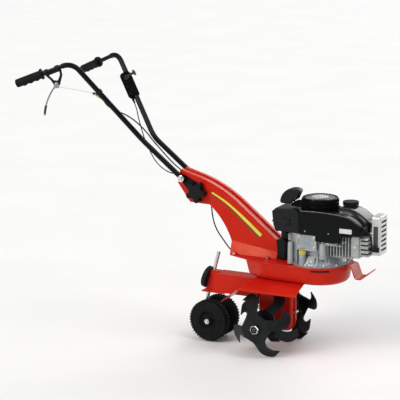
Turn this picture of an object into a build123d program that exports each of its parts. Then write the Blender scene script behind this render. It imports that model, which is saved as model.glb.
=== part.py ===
from build123d import *
import os
from math import atan2, cos, degrees, pi, radians, sin, sqrt, tan

# A petrol garden tiller: +X is forward, +Y is the machine's left, +Z is up, and the floor is Z = 0.
# All sizes are millimetres. The origin lies on the floor under the middle of the machine's length.

os.makedirs("parts", exist_ok=True)

# Clearances
gap = 0.3           # between pieces that move past each other
run = 0.05          # radial clearance of a shaft in its hole
sheet = 2.5         # pressed steel sheet
plate = 4.0         # flat steel plate
on_base = (Align.CENTER, Align.CENTER, Align.MIN)   # a form that stands on its place

# Wheels and their strut
wheel_r = 80.0
wheel_w = 36.0
wheel_x = 14.0
wheel_track = 84.0          # between the wheels' middle planes
tread_w = 18.0
tread_lugs = 30
lug_depth = 3.0
dish_r = 38.0
dish_depth = 12.0
axle_r = 6.0
axle_tube_r = 11.0
strut_r = 7.0
strut_lean = 15.4           # degrees, top forward
strut_top_z = 345.0
strut_top_x = 35.4
strut_elbow_z = 118.0
strut_bend_r = 26.0
strut_knob_r = 42.0
strut_knob_t = 18.0
strut_knob_flutes = 24
strut_knob_z = 233.0
stud_r = 4.0

# Tine rotor
tine_x = 272.0
tine_z = 115.0
tine_r = 124.0
tine_shaft_r = 12.5
star_t = 5.0
star_fold_x = 54.0          # from the shaft to the line that an arm is bent along
star_fold = 40.0            # degrees that an arm is bent
outer_star_y = 173.0
inner_star_y = 106.0
outer_star_turn = -70.0     # degrees, direction of the first arm
inner_star_turn = 65.0
hub_r = 18.0
nut_r = 14.0
end_hole_r = 4.25           # tapped hole in each end of the tine shaft
end_hole_depth = 25.0
nut_t = 10.0

# Gearcase
case_rear = 207.0
case_front = 354.0
case_bottom = 68.0
case_half = 27.0
case_corner_r = 42.0
case_flange = 6.0
case_wall = 3.0
case_boss_r = 23.0
case_boss = 11.0
wheel_teeth = 24
gear_r = 30.0               # worm wheel, outside
gear_w = 20.0
tooth_depth = 4.0
worm_r = 15.0
worm_shaft_r = 8.5
bush_wall = 4.5

# Deck, tub and belt drive
deck_top = 352.0
deck_t = 4.0
deck_rear = 104.0
deck_rear_half = 52.0
deck_knee_x = 262.0
deck_knee_half = 116.0
deck_round_r = 124.0
tub_rear = 172.0
tub_bottom = 284.0
tub_inset = 5.0
tub_taper = 10.0
tub_fillet = 22.0
tub_corner_r = 30.0
deck_corner_r = 14.0
belt_z = 322.0
belt_w = 9.0
belt_h = 7.0
drive_r = 26.0              # groove bottom of the engine's pulley
driven_r = 46.0             # groove bottom of the worm shaft's pulley
rim_h = 10.0
pulley_w = 17.0
idler_r = 18.0
idler_travel = 10.0
idler_arm = 52.0

# Tine guard
guard_front = 428.0
guard_half = 170.0
guard_flat_half = 95.0
guard_drop = 25.0
guard_lip = 8.0
flap_top_x = 229.0
flap_tip_x = 112.0
flap_tip_z = 190.0

# Rear arm
arm_half = 31.0
arm_top = 264.0
arm_bottom = 190.0
arm_wall = 4.0
socket_half = 13.0
socket_back = 9.0

# Front bumper strap
strap_half = 35.0
strap_t = 4.0

# Column
column_half = 30.0
column_skirt_half = 46.0
tab_half = 60.0             # bolt tabs at the column's foot
tab_places = (126.0, 262.0)
pivot_x = -98.0
pivot_z = 622.0
pivot_r = 5.0
clamp_x = -37.0
clamp_z = 574.0
tilt_up = 12.0
tilt_down = 12.0
handle_knob_r = 41.0
handle_knob_t = 24.0
handle_knob_lobes = 5

# Handlebar
tube_r = 10.0
tube_wall = 1.8
tube_kink = Vector(-266.5, 0, 755.5)
tube_corner = Vector(-495.0, -166.8, 1054.5)
grip_tip = Vector(-704.0, -234.6, 971.0)
kink_bend_r = 150.0
corner_bend_r = 55.0
thin_tube_r = 8.0
thin_from = 42.0            # from the corner point to the step in the tube
grip_len = 110.0
grip_r = 16.0
grip_flange_r = 21.0
lever_rod_r = 3.0
lever_len = 129.0
lever_hub_r = 7.0
lever_drop = 54.0           # lever pivot below the tube's axis
wire_r = 0.8
cable_r = 2.5
throttle_cable_r = 2.0
throttle_len = 116.0
throttle_half = 19.0
throttle_round = 13.0
throttle_share = 0.62       # of the way from the kink to the corner

# Engine
engine_x = 450.0
base_r = 113.0
base_t = 6.0
sump_h = 30.0
sump_top_r = 86.0
block_half = 78.0
block_top = 470.0
crank_r = 12.5
shroud_r = 85.0
shroud_top = 550.0
shroud_wall = 2.5
flywheel_r = 76.0
flywheel_t = 24.0
starter_r = 68.5
starter_top = 591.0
starter_slots = 30
reel_r = 45.0
cylinder_y = -24.0
cylinder_z = 432.0
cylinder_from = 512.0
cylinder_to = 606.0
fin_count = 9
fin_t = 3.0
fin_half_y = 52.0
fin_half_z = 42.0
head_to = 664.0
tank_near = 42.0            # the tank from its near side to Y = 0
tank_far = 64.0
cap_r = 29.0
cap_h = 14.0
guard_box_x0 = 668.0
guard_box_x1 = 699.0
guard_box_y0 = -40.0
guard_box_y1 = 32.0
guard_box_z0 = 404.0
guard_box_z1 = 548.0
muffler_slots = 7


def keep(piece, node):
    """Label a finished piece and write it under its node's name."""
    piece.label = node
    export_step(piece, f"parts/{node}.step")


def side_plane(y):
    """A plane facing -Y at a height y: its local x is X and its local y is Z."""
    return Plane.XZ.offset(-y)


def hex_points(radius):
    return [(radius * cos(radians(60 * k)), radius * sin(radians(60 * k))) for k in range(6)]


def route_radii(points):
    """Bend radii of a cable's route: as large as the two runs beside each corner allow."""
    radii = []
    for before, corner, after in zip(points, points[1:], points[2:]):
        run_in = Vector(*corner) - Vector(*before)
        run_out = Vector(*after) - Vector(*corner)
        half_turn = radians(run_in.get_angle(run_out)) / 2
        radii.append(0.45 * min(run_in.length, run_out.length) / tan(half_turn))
    return radii


def cable(points, radius):
    """A round cable along straight runs joined by tangent arcs."""
    radii = route_radii(points)
    print("cable bend radii", [round(r) for r in radii])
    with BuildPart() as tube:
        with BuildLine() as route:
            FilletPolyline(*points, radius=radii)
        with BuildSketch(Plane(route.line @ 0, z_dir=route.line % 0)):
            Circle(radius)
        sweep(path=route.line)
    length = sum(edge.length for edge in route.line.edges())
    print("cable volume ratio", round(tube.part.volume / (pi * radius**2 * length), 4))
    return tube.part


# Places worked out from the driving sizes
worm_x = tine_x + gear_r - tooth_depth / 2 + worm_r - tooth_depth / 2 + 3 * gap
tube_y = column_half + gap + plate + tube_r
tilt_arm = sqrt((clamp_x - pivot_x) ** 2 + (clamp_z - pivot_z) ** 2)
tilt_angle = degrees(atan2(clamp_z - pivot_z, clamp_x - pivot_x))
lean = radians(strut_lean)
strut_up = Vector(sin(lean), 0, cos(lean))
strut_back = Vector(-cos(lean), 0, sin(lean))
strut_top = Vector(strut_top_x, 0, strut_top_z)
strut_elbow = strut_top - strut_up * ((strut_top_z - strut_elbow_z) / cos(lean))
strut_knob_at = strut_top - strut_up * ((strut_top_z - strut_knob_z) / cos(lean))
wheel_axle = Vector(wheel_x, 0, wheel_r)
tub_top = deck_top - deck_t
case_top = tub_bottom - sheet
grip_dir = (grip_tip - tube_corner).normalized()
kink_right = Vector(tube_kink.X, -tube_y, tube_kink.Z)
tube_run = (tube_corner - kink_right).normalized()
grip_side = grip_dir.cross(Vector(0, 0, 1)).normalized()
grip_up = grip_side.cross(grip_dir).normalized()
grip_start = (grip_tip - tube_corner).length - grip_len
lever_at = tube_corner + grip_dir * (grip_start - 40) - grip_up * lever_drop
belt_span = engine_x - worm_x


# Wheels: a tyre with lugs round each shoulder, and a dished disc with a hub
def make_wheel(side):
    middle = side * wheel_track / 2
    half = wheel_w / 2
    shoulder = (wheel_w - tread_w) / 2
    hub_out = axle_r + 9
    with BuildPart() as wheel:
        with BuildSketch(Plane.XY):
            with BuildLine():
                Polyline(
                    (axle_r + run, -half),
                    (hub_out, -half),
                    (hub_out, -half + dish_depth),
                    (dish_r - 6, -half + dish_depth),
                    (dish_r, -half),
                    (wheel_r - shoulder * 0.8, -half),
                    (wheel_r, -half + shoulder),
                    (wheel_r, half - shoulder),
                    (wheel_r - shoulder * 0.8, half),
                    (dish_r, half),
                    (dish_r - 6, half - dish_depth),
                    (hub_out, half - dish_depth),
                    (hub_out, half),
                    (axle_r + run, half),
                    close=True,
                )
            make_face()
        revolve(axis=Axis.Y)
        for end in (-1, 1):
            with BuildSketch(Plane.XZ.offset(end * (half - shoulder / 2))):
                with PolarLocations(wheel_r, tread_lugs, start_angle=end * 90 / tread_lugs):
                    Rectangle(2 * lug_depth, pi * wheel_r / tread_lugs)
            extrude(amount=shoulder / 2 + 1, both=True, mode=Mode.SUBTRACT)
    return wheel.part.moved(Location((wheel_x, middle, wheel_r)))


keep(make_wheel(-1), "right_wheel")
keep(make_wheel(1), "left_wheel")

# Wheel strut: a bent bar with the axle across its foot
with BuildPart() as wheel_strut:
    with BuildLine() as strut_path:
        FilletPolyline(strut_top, strut_elbow, wheel_axle, radius=strut_bend_r)
    with BuildSketch(Plane(strut_top, z_dir=strut_path.line % 0)):
        Circle(strut_r)
    sweep(path=strut_path.line)
    axle_gap = wheel_track / 2 - wheel_w / 2 - gap
    with Locations(Location(wheel_axle, (90, 0, 0))):
        Cylinder(axle_tube_r, 2 * axle_gap)
        Cylinder(axle_r, wheel_track + wheel_w + 2 * nut_t)
keep(wheel_strut.part, "wheel_strut")

with BuildPart() as axle_nuts:
    for side in (-1, 1):
        face = side * (wheel_track / 2 + wheel_w / 2 + gap)
        with BuildSketch(side_plane(face)):
            with Locations((wheel_x, wheel_r)):
                Polygon(*hex_points(axle_r + 4.5), align=None)
                Circle(axle_r + run, mode=Mode.SUBTRACT)
        extrude(amount=-side * 7)
keep(axle_nuts.part, "axle_nuts")

# Strut clamp knob: a fluted disc on a stud that presses the strut in its socket
knob_plane = Plane(strut_knob_at + strut_back * (socket_back + gap), z_dir=strut_back)
with BuildPart(knob_plane) as strut_clamp_knob:
    Cylinder(strut_knob_r, strut_knob_t, align=on_base)
    fillet(strut_clamp_knob.edges().filter_by(GeomType.CIRCLE), 3)
    with PolarLocations(strut_knob_r + 2.5, strut_knob_flutes):
        Cylinder(4.5, 3 * strut_knob_t, mode=Mode.SUBTRACT)
    with Locations((0, 0, -(socket_back + gap) + strut_r + gap)):
        Cylinder(stud_r, socket_back - strut_r + 1, align=on_base)
keep(strut_clamp_knob.part, "strut_clamp_knob")


# Tine stars: a plate with four hooked arms, each bent inwards along a line across its root
def star_arm():
    """Flat outline of one hooked arm, pointing along +X and hooked towards +Y."""
    k = tine_r / 131
    with BuildSketch() as arm:
        with BuildLine():
            Line((0, -15 * k), (100 * k, -31 * k))
            ThreePointArc((100 * k, -31 * k), (136 * k, -22 * k), (152 * k, 12 * k))
            Line((152 * k, 12 * k), (132 * k, 43 * k))
            ThreePointArc((132 * k, 43 * k), (112 * k, 16 * k), (80 * k, 13 * k))
            Polyline((80 * k, 13 * k), (56 * k, 22 * k), (24 * k, 54 * k), (0, 50 * k), (0, -15 * k))
        make_face()
    return arm.sketch


def make_star(middle_y, turn, inwards):
    """A star in the plane Y = middle_y; inwards is the way that its arms are bent."""
    with BuildSketch() as root:
        add(star_arm())
        with Locations((star_fold_x, 0)):
            Rectangle(2 * tine_r, 4 * tine_r, align=(Align.MIN, Align.CENTER), mode=Mode.SUBTRACT)
    with BuildSketch() as blade:
        add(star_arm())
        with Locations((star_fold_x, 0)):
            Rectangle(2 * tine_r, 4 * tine_r, align=(Align.MAX, Align.CENTER), mode=Mode.SUBTRACT)
    fold_line = Axis((star_fold_x, 0, 0), (0, 1, 0))
    root_solid = extrude(root.sketch, star_t / 2, both=True)
    blade_solid = extrude(blade.sketch, star_t / 2, both=True).rotate(fold_line, inwards * star_fold)
    fold_ends = blade.vertices().group_by(Axis.X)[0].sort_by(Axis.Y)
    fold_len = fold_ends[-1].Y - fold_ends[0].Y - 1
    with BuildPart() as star:
        for k in range(4):
            spin = Rotation(0, 0, 90 * k)
            add(spin * root_solid)
            add(spin * blade_solid)
            fold_mid = (fold_ends[0].Y + fold_ends[-1].Y) / 2
            with Locations(spin * Location((star_fold_x, fold_mid, 0), (90, 0, 0))):
                Cylinder(star_t / 2, fold_len)
        Cylinder(tine_shaft_r + run, 4 * star_t, mode=Mode.SUBTRACT)
    upright = star.part.rotate(Axis.Z, turn).rotate(Axis.X, 90)
    return upright.moved(Location((tine_x, middle_y, tine_z)))


keep(make_star(-outer_star_y, outer_star_turn, 1), "right_outer_star")
keep(make_star(-inner_star_y, inner_star_turn, 1), "right_inner_star")
keep(make_star(inner_star_y, inner_star_turn, -1), "left_inner_star")
keep(make_star(outer_star_y, outer_star_turn, -1), "left_outer_star")

# Tine shaft, and one set of spacer hubs and end nuts
shaft_half = outer_star_y + star_t / 2 + nut_t + 6
with BuildPart() as tine_shaft:
    with Locations(Location((tine_x, 0, tine_z), (90, 0, 0))):
        Cylinder(tine_shaft_r, 2 * shaft_half)
    chamfer(tine_shaft.edges().filter_by(GeomType.CIRCLE), 1.5)
    for side in (-1, 1):
        with Locations(Location((tine_x, side * shaft_half, tine_z), (90, 0, 0))):
            Cylinder(end_hole_r, 2 * end_hole_depth, mode=Mode.SUBTRACT)
keep(tine_shaft.part, "tine_shaft")

with BuildPart() as tine_hubs:
    for side in (-1, 1):
        for start, end in (
            (case_half + case_boss + gap, inner_star_y - star_t / 2),
            (inner_star_y + star_t / 2, outer_star_y - star_t / 2),
        ):
            with BuildSketch(side_plane(side * start)):
                with Locations((tine_x, tine_z)):
                    Circle(hub_r)
                    Circle(tine_shaft_r + run, mode=Mode.SUBTRACT)
            extrude(amount=-side * (end - start))
    for side in (-1, 1):
        with BuildSketch(side_plane(side * (outer_star_y + star_t / 2))):
            with Locations((tine_x, tine_z)):
                Polygon(*hex_points(nut_r + 3.5), align=None)
                Circle(tine_shaft_r + run, mode=Mode.SUBTRACT)
        extrude(amount=-side * nut_t)
keep(tine_hubs.part, "tine_hubs")

# Worm wheel, with straight teeth, and the worm shaft with its thread built up in short steps
pitch = 2 * pi * (gear_r - tooth_depth / 2) / wheel_teeth
with BuildPart() as worm_wheel:
    with BuildSketch(side_plane(gear_w / 2)):
        with Locations((tine_x, tine_z)):
            Circle(gear_r - tooth_depth)
            with PolarLocations(gear_r - tooth_depth / 2, wheel_teeth, start_angle=180 / wheel_teeth):
                Rectangle(tooth_depth + 1, pitch * 0.27)
            Circle(tine_shaft_r + run, mode=Mode.SUBTRACT)
    extrude(amount=gear_w)
keep(worm_wheel.part, "worm_wheel")

worm_low = case_bottom + case_flange + case_wall + 4
worm_turns = 7
thread_steps = 12           # short level pieces in one turn of the thread
thread_t = pitch * 0.26
thread_count = worm_turns * thread_steps
pulley_low = belt_z - pulley_w / 2
shaft_top = belt_z + pulley_w / 2 + 6
with BuildPart() as worm_shaft:
    with Locations((worm_x, 0, worm_low)):
        Cylinder(worm_shaft_r, shaft_top - worm_low, align=on_base)
    with Locations((worm_x, 0, tine_z)):
        Cylinder(worm_r - tooth_depth, (worm_turns + 1) * pitch)
    for k in range(thread_count + 1):
        level = tine_z + (k - thread_count / 2) * pitch / thread_steps
        with BuildSketch(Plane.XY.offset(level - thread_t / 2)):
            with BuildLine():
                rim = CenterArc((worm_x, 0), worm_r, (k - 0.5) * 360 / thread_steps, 360 / thread_steps)
                Line(rim @ 1, (worm_x, 0))
                Line((worm_x, 0), rim @ 0)
            make_face()
        extrude(amount=thread_t)
keep(worm_shaft.part, "worm_shaft")


# Gearcase: two pressed halves that meet on a seam flange
def case_outline(inset):
    low = case_bottom + inset
    with BuildSketch(Plane.XZ) as outline:
        with BuildLine():
            Polyline(
                (case_rear + inset, low),
                (case_front - inset, low),
                (case_front - inset, case_top),
                (case_rear + inset, case_top),
                close=True,
            )
        make_face()
        fillet(outline.vertices().group_by(Axis.Z)[0], case_corner_r - inset)
    return outline.sketch


def make_case(side):
    bolt_seats = [
        (case_rear - 1, case_top - 60),
        (case_front + 1, case_top - 60),
        (case_rear - 1, tine_z + 30),
        (case_front + 1, tine_z + 30),
    ]
    with BuildPart() as case:
        with BuildSketch(Plane.XZ):
            add(case_outline(0))
            with Locations(*bolt_seats):
                Circle(7)
                Circle(stud_r + run, mode=Mode.SUBTRACT)
        extrude(amount=-side * case_wall)
        with BuildSketch(Plane.XZ):
            add(case_outline(case_flange))
        extrude(amount=-side * case_half)
        fillet(case.faces().sort_by(Axis.Y)[0 if side < 0 else -1].edges(), 8)
        with BuildSketch(Plane.XZ):
            with Locations((tine_x, tine_z)):
                Circle(case_boss_r)
        extrude(amount=-side * (case_half + case_boss))
        with BuildSketch(Plane.XZ):
            add(case_outline(case_flange + case_wall))
            with Locations(((case_rear + case_front) / 2, case_top)):
                Rectangle(case_front - case_rear, 2 * case_wall, mode=Mode.SUBTRACT)
        extrude(amount=-side * (case_half - case_wall), mode=Mode.SUBTRACT)
        with Locations(Location((tine_x, 0, tine_z), (90, 0, 0))):
            Cylinder(tine_shaft_r + bush_wall, 4 * case_half, mode=Mode.SUBTRACT)
        with Locations((worm_x, 0, case_top)):
            Cylinder(worm_shaft_r + bush_wall, 8 * case_wall, mode=Mode.SUBTRACT)
    return case.part


keep(make_case(-1), "gearcase_right")
keep(make_case(1), "gearcase_left")

# Bushes of the tine shaft and of the worm shaft
bush_top = tub_bottom + sheet + 6
with BuildPart() as shaft_bearings:
    for side in (-1, 1):
        with BuildSketch(side_plane(side * (case_half - case_wall - 3))):
            with Locations((tine_x, tine_z)):
                Circle(tine_shaft_r + bush_wall - run)
                Circle(tine_shaft_r + run, mode=Mode.SUBTRACT)
        extrude(amount=-side * (case_wall + 3 + case_boss))
    with BuildSketch(Plane.XY.offset(case_top - case_wall - 3)):
        with Locations((worm_x, 0)):
            Circle(worm_shaft_r + bush_wall - run)
            Circle(worm_shaft_r + run, mode=Mode.SUBTRACT)
    extrude(amount=bush_top - (case_top - case_wall - 3))
keep(shaft_bearings.part, "shaft_bearings")


# Deck and tub share one plan outline
def deck_outline(inset, rear, corner_r):
    """Plan outline drawn in from the deck's edge by inset, cut square at rear with rounded corners."""
    slope = (deck_knee_half - deck_rear_half) / (deck_knee_x - deck_rear)
    rear_half = deck_rear_half + slope * (rear - deck_rear) - inset
    knee = deck_knee_half - inset
    radius = deck_round_r - inset
    with BuildSketch() as outline:
        with BuildLine():
            Polyline((engine_x, radius), (deck_knee_x, knee), (rear + inset, rear_half))
            Line((rear + inset, rear_half), (rear + inset, -rear_half))
            Polyline((rear + inset, -rear_half), (deck_knee_x, -knee), (engine_x, -radius))
            ThreePointArc((engine_x, -radius), (engine_x + radius, 0), (engine_x, radius))
        make_face()
        corners = outline.vertices().group_by(Axis.X)
        fillet(corners[0], corner_r)
        fillet(outline.vertices().filter_by_position(Axis.X, deck_knee_x - 1, deck_knee_x + 1), 70)
    return outline.sketch


def tub_form(inset, bottom, round_r):
    """The tub as a solid form: its outline drawn in towards a rounded bottom."""
    with BuildPart() as form:
        with BuildSketch(Plane.XY.offset(tub_top)):
            add(deck_outline(tub_inset + inset, tub_rear, tub_corner_r))
        with BuildSketch(Plane.XY.offset(bottom)):
            add(deck_outline(tub_inset + tub_taper + inset, tub_rear + tub_taper / 2, tub_corner_r))
        loft(ruled=True)
        fillet(form.edges().group_by(Axis.Z)[0], round_r)
    return form.part


with BuildPart() as belt_tub:
    add(tub_form(0, tub_bottom, tub_fillet))
    add(tub_form(sheet, tub_bottom + sheet, tub_fillet - sheet), mode=Mode.SUBTRACT)
    with BuildSketch(Plane.XY.offset(tub_top)):
        add(deck_outline(tub_inset + sheet, tub_rear, tub_corner_r))
    extrude(amount=-sheet, mode=Mode.SUBTRACT)
    with Locations((worm_x, 0, tub_bottom)):
        Cylinder(worm_shaft_r + bush_wall, 6 * sheet, mode=Mode.SUBTRACT)
keep(belt_tub.part, "belt_tub")

with BuildPart() as deck_plate:
    with BuildSketch(Plane.XY.offset(tub_top)):
        add(deck_outline(0, deck_rear, deck_corner_r))
        with Locations((engine_x, 0)):
            Circle(crank_r + 14, mode=Mode.SUBTRACT)
        with Locations(*[(x, side * (tab_half - 6)) for x in tab_places for side in (-1, 1)]):
            Circle(stud_r + run, mode=Mode.SUBTRACT)
    extrude(amount=deck_t)
    fillet(deck_plate.edges().group_by(Axis.Z)[-1].sort_by(SortBy.LENGTH)[-1], 1.2)
keep(deck_plate.part, "deck_plate")


# Grooved pulley on a vertical shaft
def make_pulley(x, groove_r, bore_r):
    with BuildPart() as pulley:
        with Locations((x, 0, belt_z)):
            Cylinder(groove_r + rim_h, pulley_w)
        with BuildSketch(Plane.XY.offset(belt_z - belt_w / 2 - gap)):
            with Locations((x, 0)):
                Circle(groove_r + rim_h + 1)
                Circle(groove_r, mode=Mode.SUBTRACT)
        extrude(amount=belt_w + 2 * gap, mode=Mode.SUBTRACT)
        with Locations((x, 0, belt_z)):
            Cylinder(bore_r + run, 3 * pulley_w, mode=Mode.SUBTRACT)
    return pulley.part


keep(make_pulley(engine_x, drive_r, crank_r), "drive_pulley")
keep(make_pulley(worm_x, driven_r, worm_shaft_r), "driven_pulley")

# V-belt round both pulleys
with BuildPart() as v_belt:
    for grow, mode in ((gap + belt_h, Mode.ADD), (gap, Mode.SUBTRACT)):
        with BuildSketch(Plane.XY.offset(belt_z - belt_w / 2)):
            with Locations((worm_x, 0)):
                Circle(driven_r + grow)
            with Locations((engine_x, 0)):
                Circle(drive_r + grow)
            make_hull()
        extrude(amount=belt_w, mode=mode)
keep(v_belt.part, "v_belt")

# Belt tensioner: an arm on a pivot pin, with a flat idler that leans on the belt's outside
belt_nx = (driven_r - drive_r) / belt_span
belt_ny = sqrt(1 - belt_nx**2)
idler_x = worm_x + 0.5 * belt_span
idler_off = driven_r + gap + belt_h + idler_r + idler_travel + gap
idler_y = (idler_off - belt_nx * (idler_x - worm_x)) / belt_ny
pin_x = idler_x + idler_arm
pin_y = idler_y
arm_z = belt_z + belt_w / 2 + 5
with BuildPart() as tensioner_arm:
    with BuildSketch(Plane.XY.offset(arm_z)):
        with Locations(((idler_x + pin_x) / 2, idler_y)):
            SlotCenterToCenter(idler_arm, 16)
    extrude(amount=plate)
    with Locations((idler_x, idler_y, arm_z)):
        Cylinder(4, belt_w + 8, align=(Align.CENTER, Align.CENTER, Align.MAX))
    with Locations((pin_x, pin_y, arm_z)):
        Cylinder(4, tub_top - gap - arm_z, align=on_base)
keep(tensioner_arm.part, "tensioner_arm")

with BuildPart() as tensioner_pulley:
    with Locations((idler_x, idler_y, belt_z)):
        Cylinder(idler_r, belt_w + 4)
        Cylinder(4 + run, 3 * belt_w, mode=Mode.SUBTRACT)
keep(tensioner_pulley.part, "tensioner_pulley")

# Tine guard: a roof over the rotor, with a flap hung behind it on each side of the arm
roof = tub_bottom
edge_z = roof - guard_drop
flap_slope = atan2(roof - flap_tip_z, flap_top_x - flap_tip_x)
with BuildPart() as tine_guard:
    with BuildSketch(Plane.YZ.offset(flap_tip_x)):
        with BuildLine():
            Polyline(
                (-guard_half, edge_z - guard_lip),
                (-guard_half, edge_z),
                (-guard_flat_half, roof),
                (guard_flat_half, roof),
                (guard_half, edge_z),
                (guard_half, edge_z - guard_lip),
                (guard_half - sheet, edge_z - guard_lip),
                (guard_half - sheet, edge_z - sheet),
                (guard_flat_half - sheet / 2, roof - sheet),
                (-guard_flat_half + sheet / 2, roof - sheet),
                (-guard_half + sheet, edge_z - sheet),
                (-guard_half + sheet, edge_z - guard_lip),
                close=True,
            )
        make_face()
    extrude(amount=guard_front - flap_tip_x)
    with BuildSketch(side_plane(2 * guard_half)):
        with BuildLine():
            Polyline(
                (flap_tip_x - 5, flap_tip_z - 200),
                (flap_tip_x, flap_tip_z),
                (flap_top_x + 60, roof + 60 * tan(flap_slope)),
                (flap_tip_x - 200, roof + 60 * tan(flap_slope)),
                close=True,
            )
        make_face()
    extrude(amount=4 * guard_half, mode=Mode.SUBTRACT)
    flap_length = (roof - flap_tip_z) / sin(flap_slope)
    flap_plane = Plane(
        (flap_tip_x, 0, flap_tip_z),
        x_dir=(cos(flap_slope), 0, sin(flap_slope)),
        z_dir=(-sin(flap_slope), 0, cos(flap_slope)),
    )
    with BuildSketch(flap_plane):
        for side in (-1, 1):
            with BuildLine():
                Polyline(
                    (0, side * (arm_half + 4)),
                    (0, side * (guard_half - 30)),
                    (30, side * guard_half),
                    ((edge_z - flap_tip_z) / sin(flap_slope), side * guard_half),
                    (flap_length, side * guard_flat_half),
                    (flap_length, side * (arm_half + 4)),
                    close=True,
                )
            make_face()
    extrude(amount=-sheet)
    with Locations((worm_x, 0, roof)):
        Cylinder(worm_shaft_r + bush_wall, 6 * sheet, mode=Mode.SUBTRACT)
keep(tine_guard.part, "tine_guard")


def strut_x(z):
    """X of the strut's axis at a height."""
    return strut_top_x - (strut_top_z - z) * tan(lean)


# Rear arm: a box between the gearcase and the socket that grips the strut
arm_front = case_rear + case_flange
arm_edge = 24 / cos(lean)
socket_low = arm_bottom - plate
socket_high = arm_top + plate
with BuildPart() as rear_arm:
    with BuildSketch(side_plane(arm_half)):
        Polygon(
            (strut_x(arm_bottom) + arm_edge, arm_bottom),
            (arm_front, arm_bottom),
            (arm_front, arm_top),
            (strut_x(arm_top) + arm_edge, arm_top),
            align=None,
        )
    extrude(amount=2 * arm_half)
    with BuildSketch(side_plane(arm_half - arm_wall)):
        Polygon(
            (strut_x(arm_bottom) + arm_edge + arm_wall, arm_bottom + arm_wall),
            (arm_front + 1, arm_bottom + arm_wall),
            (arm_front + 1, arm_top - arm_wall),
            (strut_x(arm_top) + arm_edge + arm_wall, arm_top - arm_wall),
            align=None,
        )
    extrude(amount=2 * (arm_half - arm_wall), mode=Mode.SUBTRACT)
    with BuildSketch(side_plane(case_wall + gap)):
        with Locations((arm_front, (arm_top + arm_bottom) / 2)):
            Rectangle(2 * (case_flange + gap), 2 * arm_top)
    extrude(amount=2 * (case_wall + gap), mode=Mode.SUBTRACT)
    with BuildSketch(side_plane(socket_half)):
        Polygon(
            (strut_x(socket_low) - socket_back / cos(lean), socket_low),
            (strut_x(socket_low) + arm_edge + 2, socket_low),
            (strut_x(socket_high) + arm_edge + 2, socket_high),
            (strut_x(socket_high) - socket_back / cos(lean), socket_high),
            align=None,
        )
    extrude(amount=2 * socket_half)
    with BuildSketch(side_plane(arm_half)):
        with Locations((-26, socket_low)):
            Rectangle(96, plate, align=(Align.MIN, Align.MIN))
    extrude(amount=2 * arm_half)
    with Locations(Plane(strut_knob_at, z_dir=strut_up)):
        Cylinder(strut_r + run, 400, mode=Mode.SUBTRACT)
    with Locations(Plane(strut_knob_at, z_dir=strut_back)):
        Cylinder(stud_r + run, 60, align=on_base, mode=Mode.SUBTRACT)
keep(rear_arm.part, "rear_arm")

# Front bumper: a bent strap welded on the deck's front rim
strap_z = deck_top + strap_t / 2
strap_rear = engine_x + base_r + 1
with BuildPart() as front_bumper:
    with BuildSketch(side_plane(strap_half)):
        with BuildLine():
            FilletPolyline(
                (strap_rear, strap_z), (586, strap_z), (603, 309), (624, 309), (655, 336), radius=[9, 9, 12]
            )
        trace(line_width=strap_t)
    extrude(amount=2 * strap_half)
keep(front_bumper.part, "front_bumper")

# Column: a hollow pressing with two ridges along its top and a flared foot
foot_rear = 104.0
foot_front = 295.0
foot_high = 400.0
foot_low = 374.0


def column_outline(inset):
    """Side outline of the column, drawn in by inset."""
    with BuildSketch() as outline:
        with BuildLine():
            Polyline((-122, 600), (-112, 653), (-20, 627))
            ThreePointArc((-20, 627), (60, 593), (128, 549))
            Polyline((128, 549), (288, 422), (foot_front, foot_low))
            Polyline((foot_front, foot_low), (foot_front, deck_top), (foot_rear, deck_top))
            Line((foot_rear, deck_top), (foot_rear - 1, foot_high))
            ThreePointArc((foot_rear - 1, foot_high), (77, 454), (12, 528))
            Polyline((12, 528), (-71, 531), (-122, 600))
        make_face()
        if inset:
            offset(amount=-inset, mode=Mode.REPLACE)
    return outline.sketch


def column_form(inset, base):
    """The column as a solid form: the upright body and the flared foot."""
    half = column_half - inset
    foot_slope = Vector(foot_front - foot_rear, 0, foot_low - foot_high)
    shoulder = Plane(
        ((foot_rear + foot_front) / 2, 0, (foot_high + foot_low) / 2 - inset),
        x_dir=foot_slope,
        z_dir=Vector(-foot_slope.Z, 0, foot_slope.X),
    )
    with BuildPart() as form:
        with BuildSketch(side_plane(half)):
            add(column_outline(inset))
        extrude(amount=2 * half)
        with BuildSketch(shoulder):
            Rectangle(foot_slope.length - 2 * inset, 2 * half)
        with BuildSketch(Plane.XY.offset(base)):
            with Locations(((foot_rear + foot_front) / 2, 0)):
                Rectangle(foot_front - foot_rear - 2 * inset, 2 * (column_skirt_half - inset))
        loft(ruled=True)
    return form.part


def top_strip(depth):
    """A band of the side outline along the column's top."""
    with BuildSketch() as strip:
        add(column_outline(0))
        add(column_outline(0).moved(Location((-0.5 * depth, -0.87 * depth))), mode=Mode.SUBTRACT)
    return strip.sketch


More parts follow.
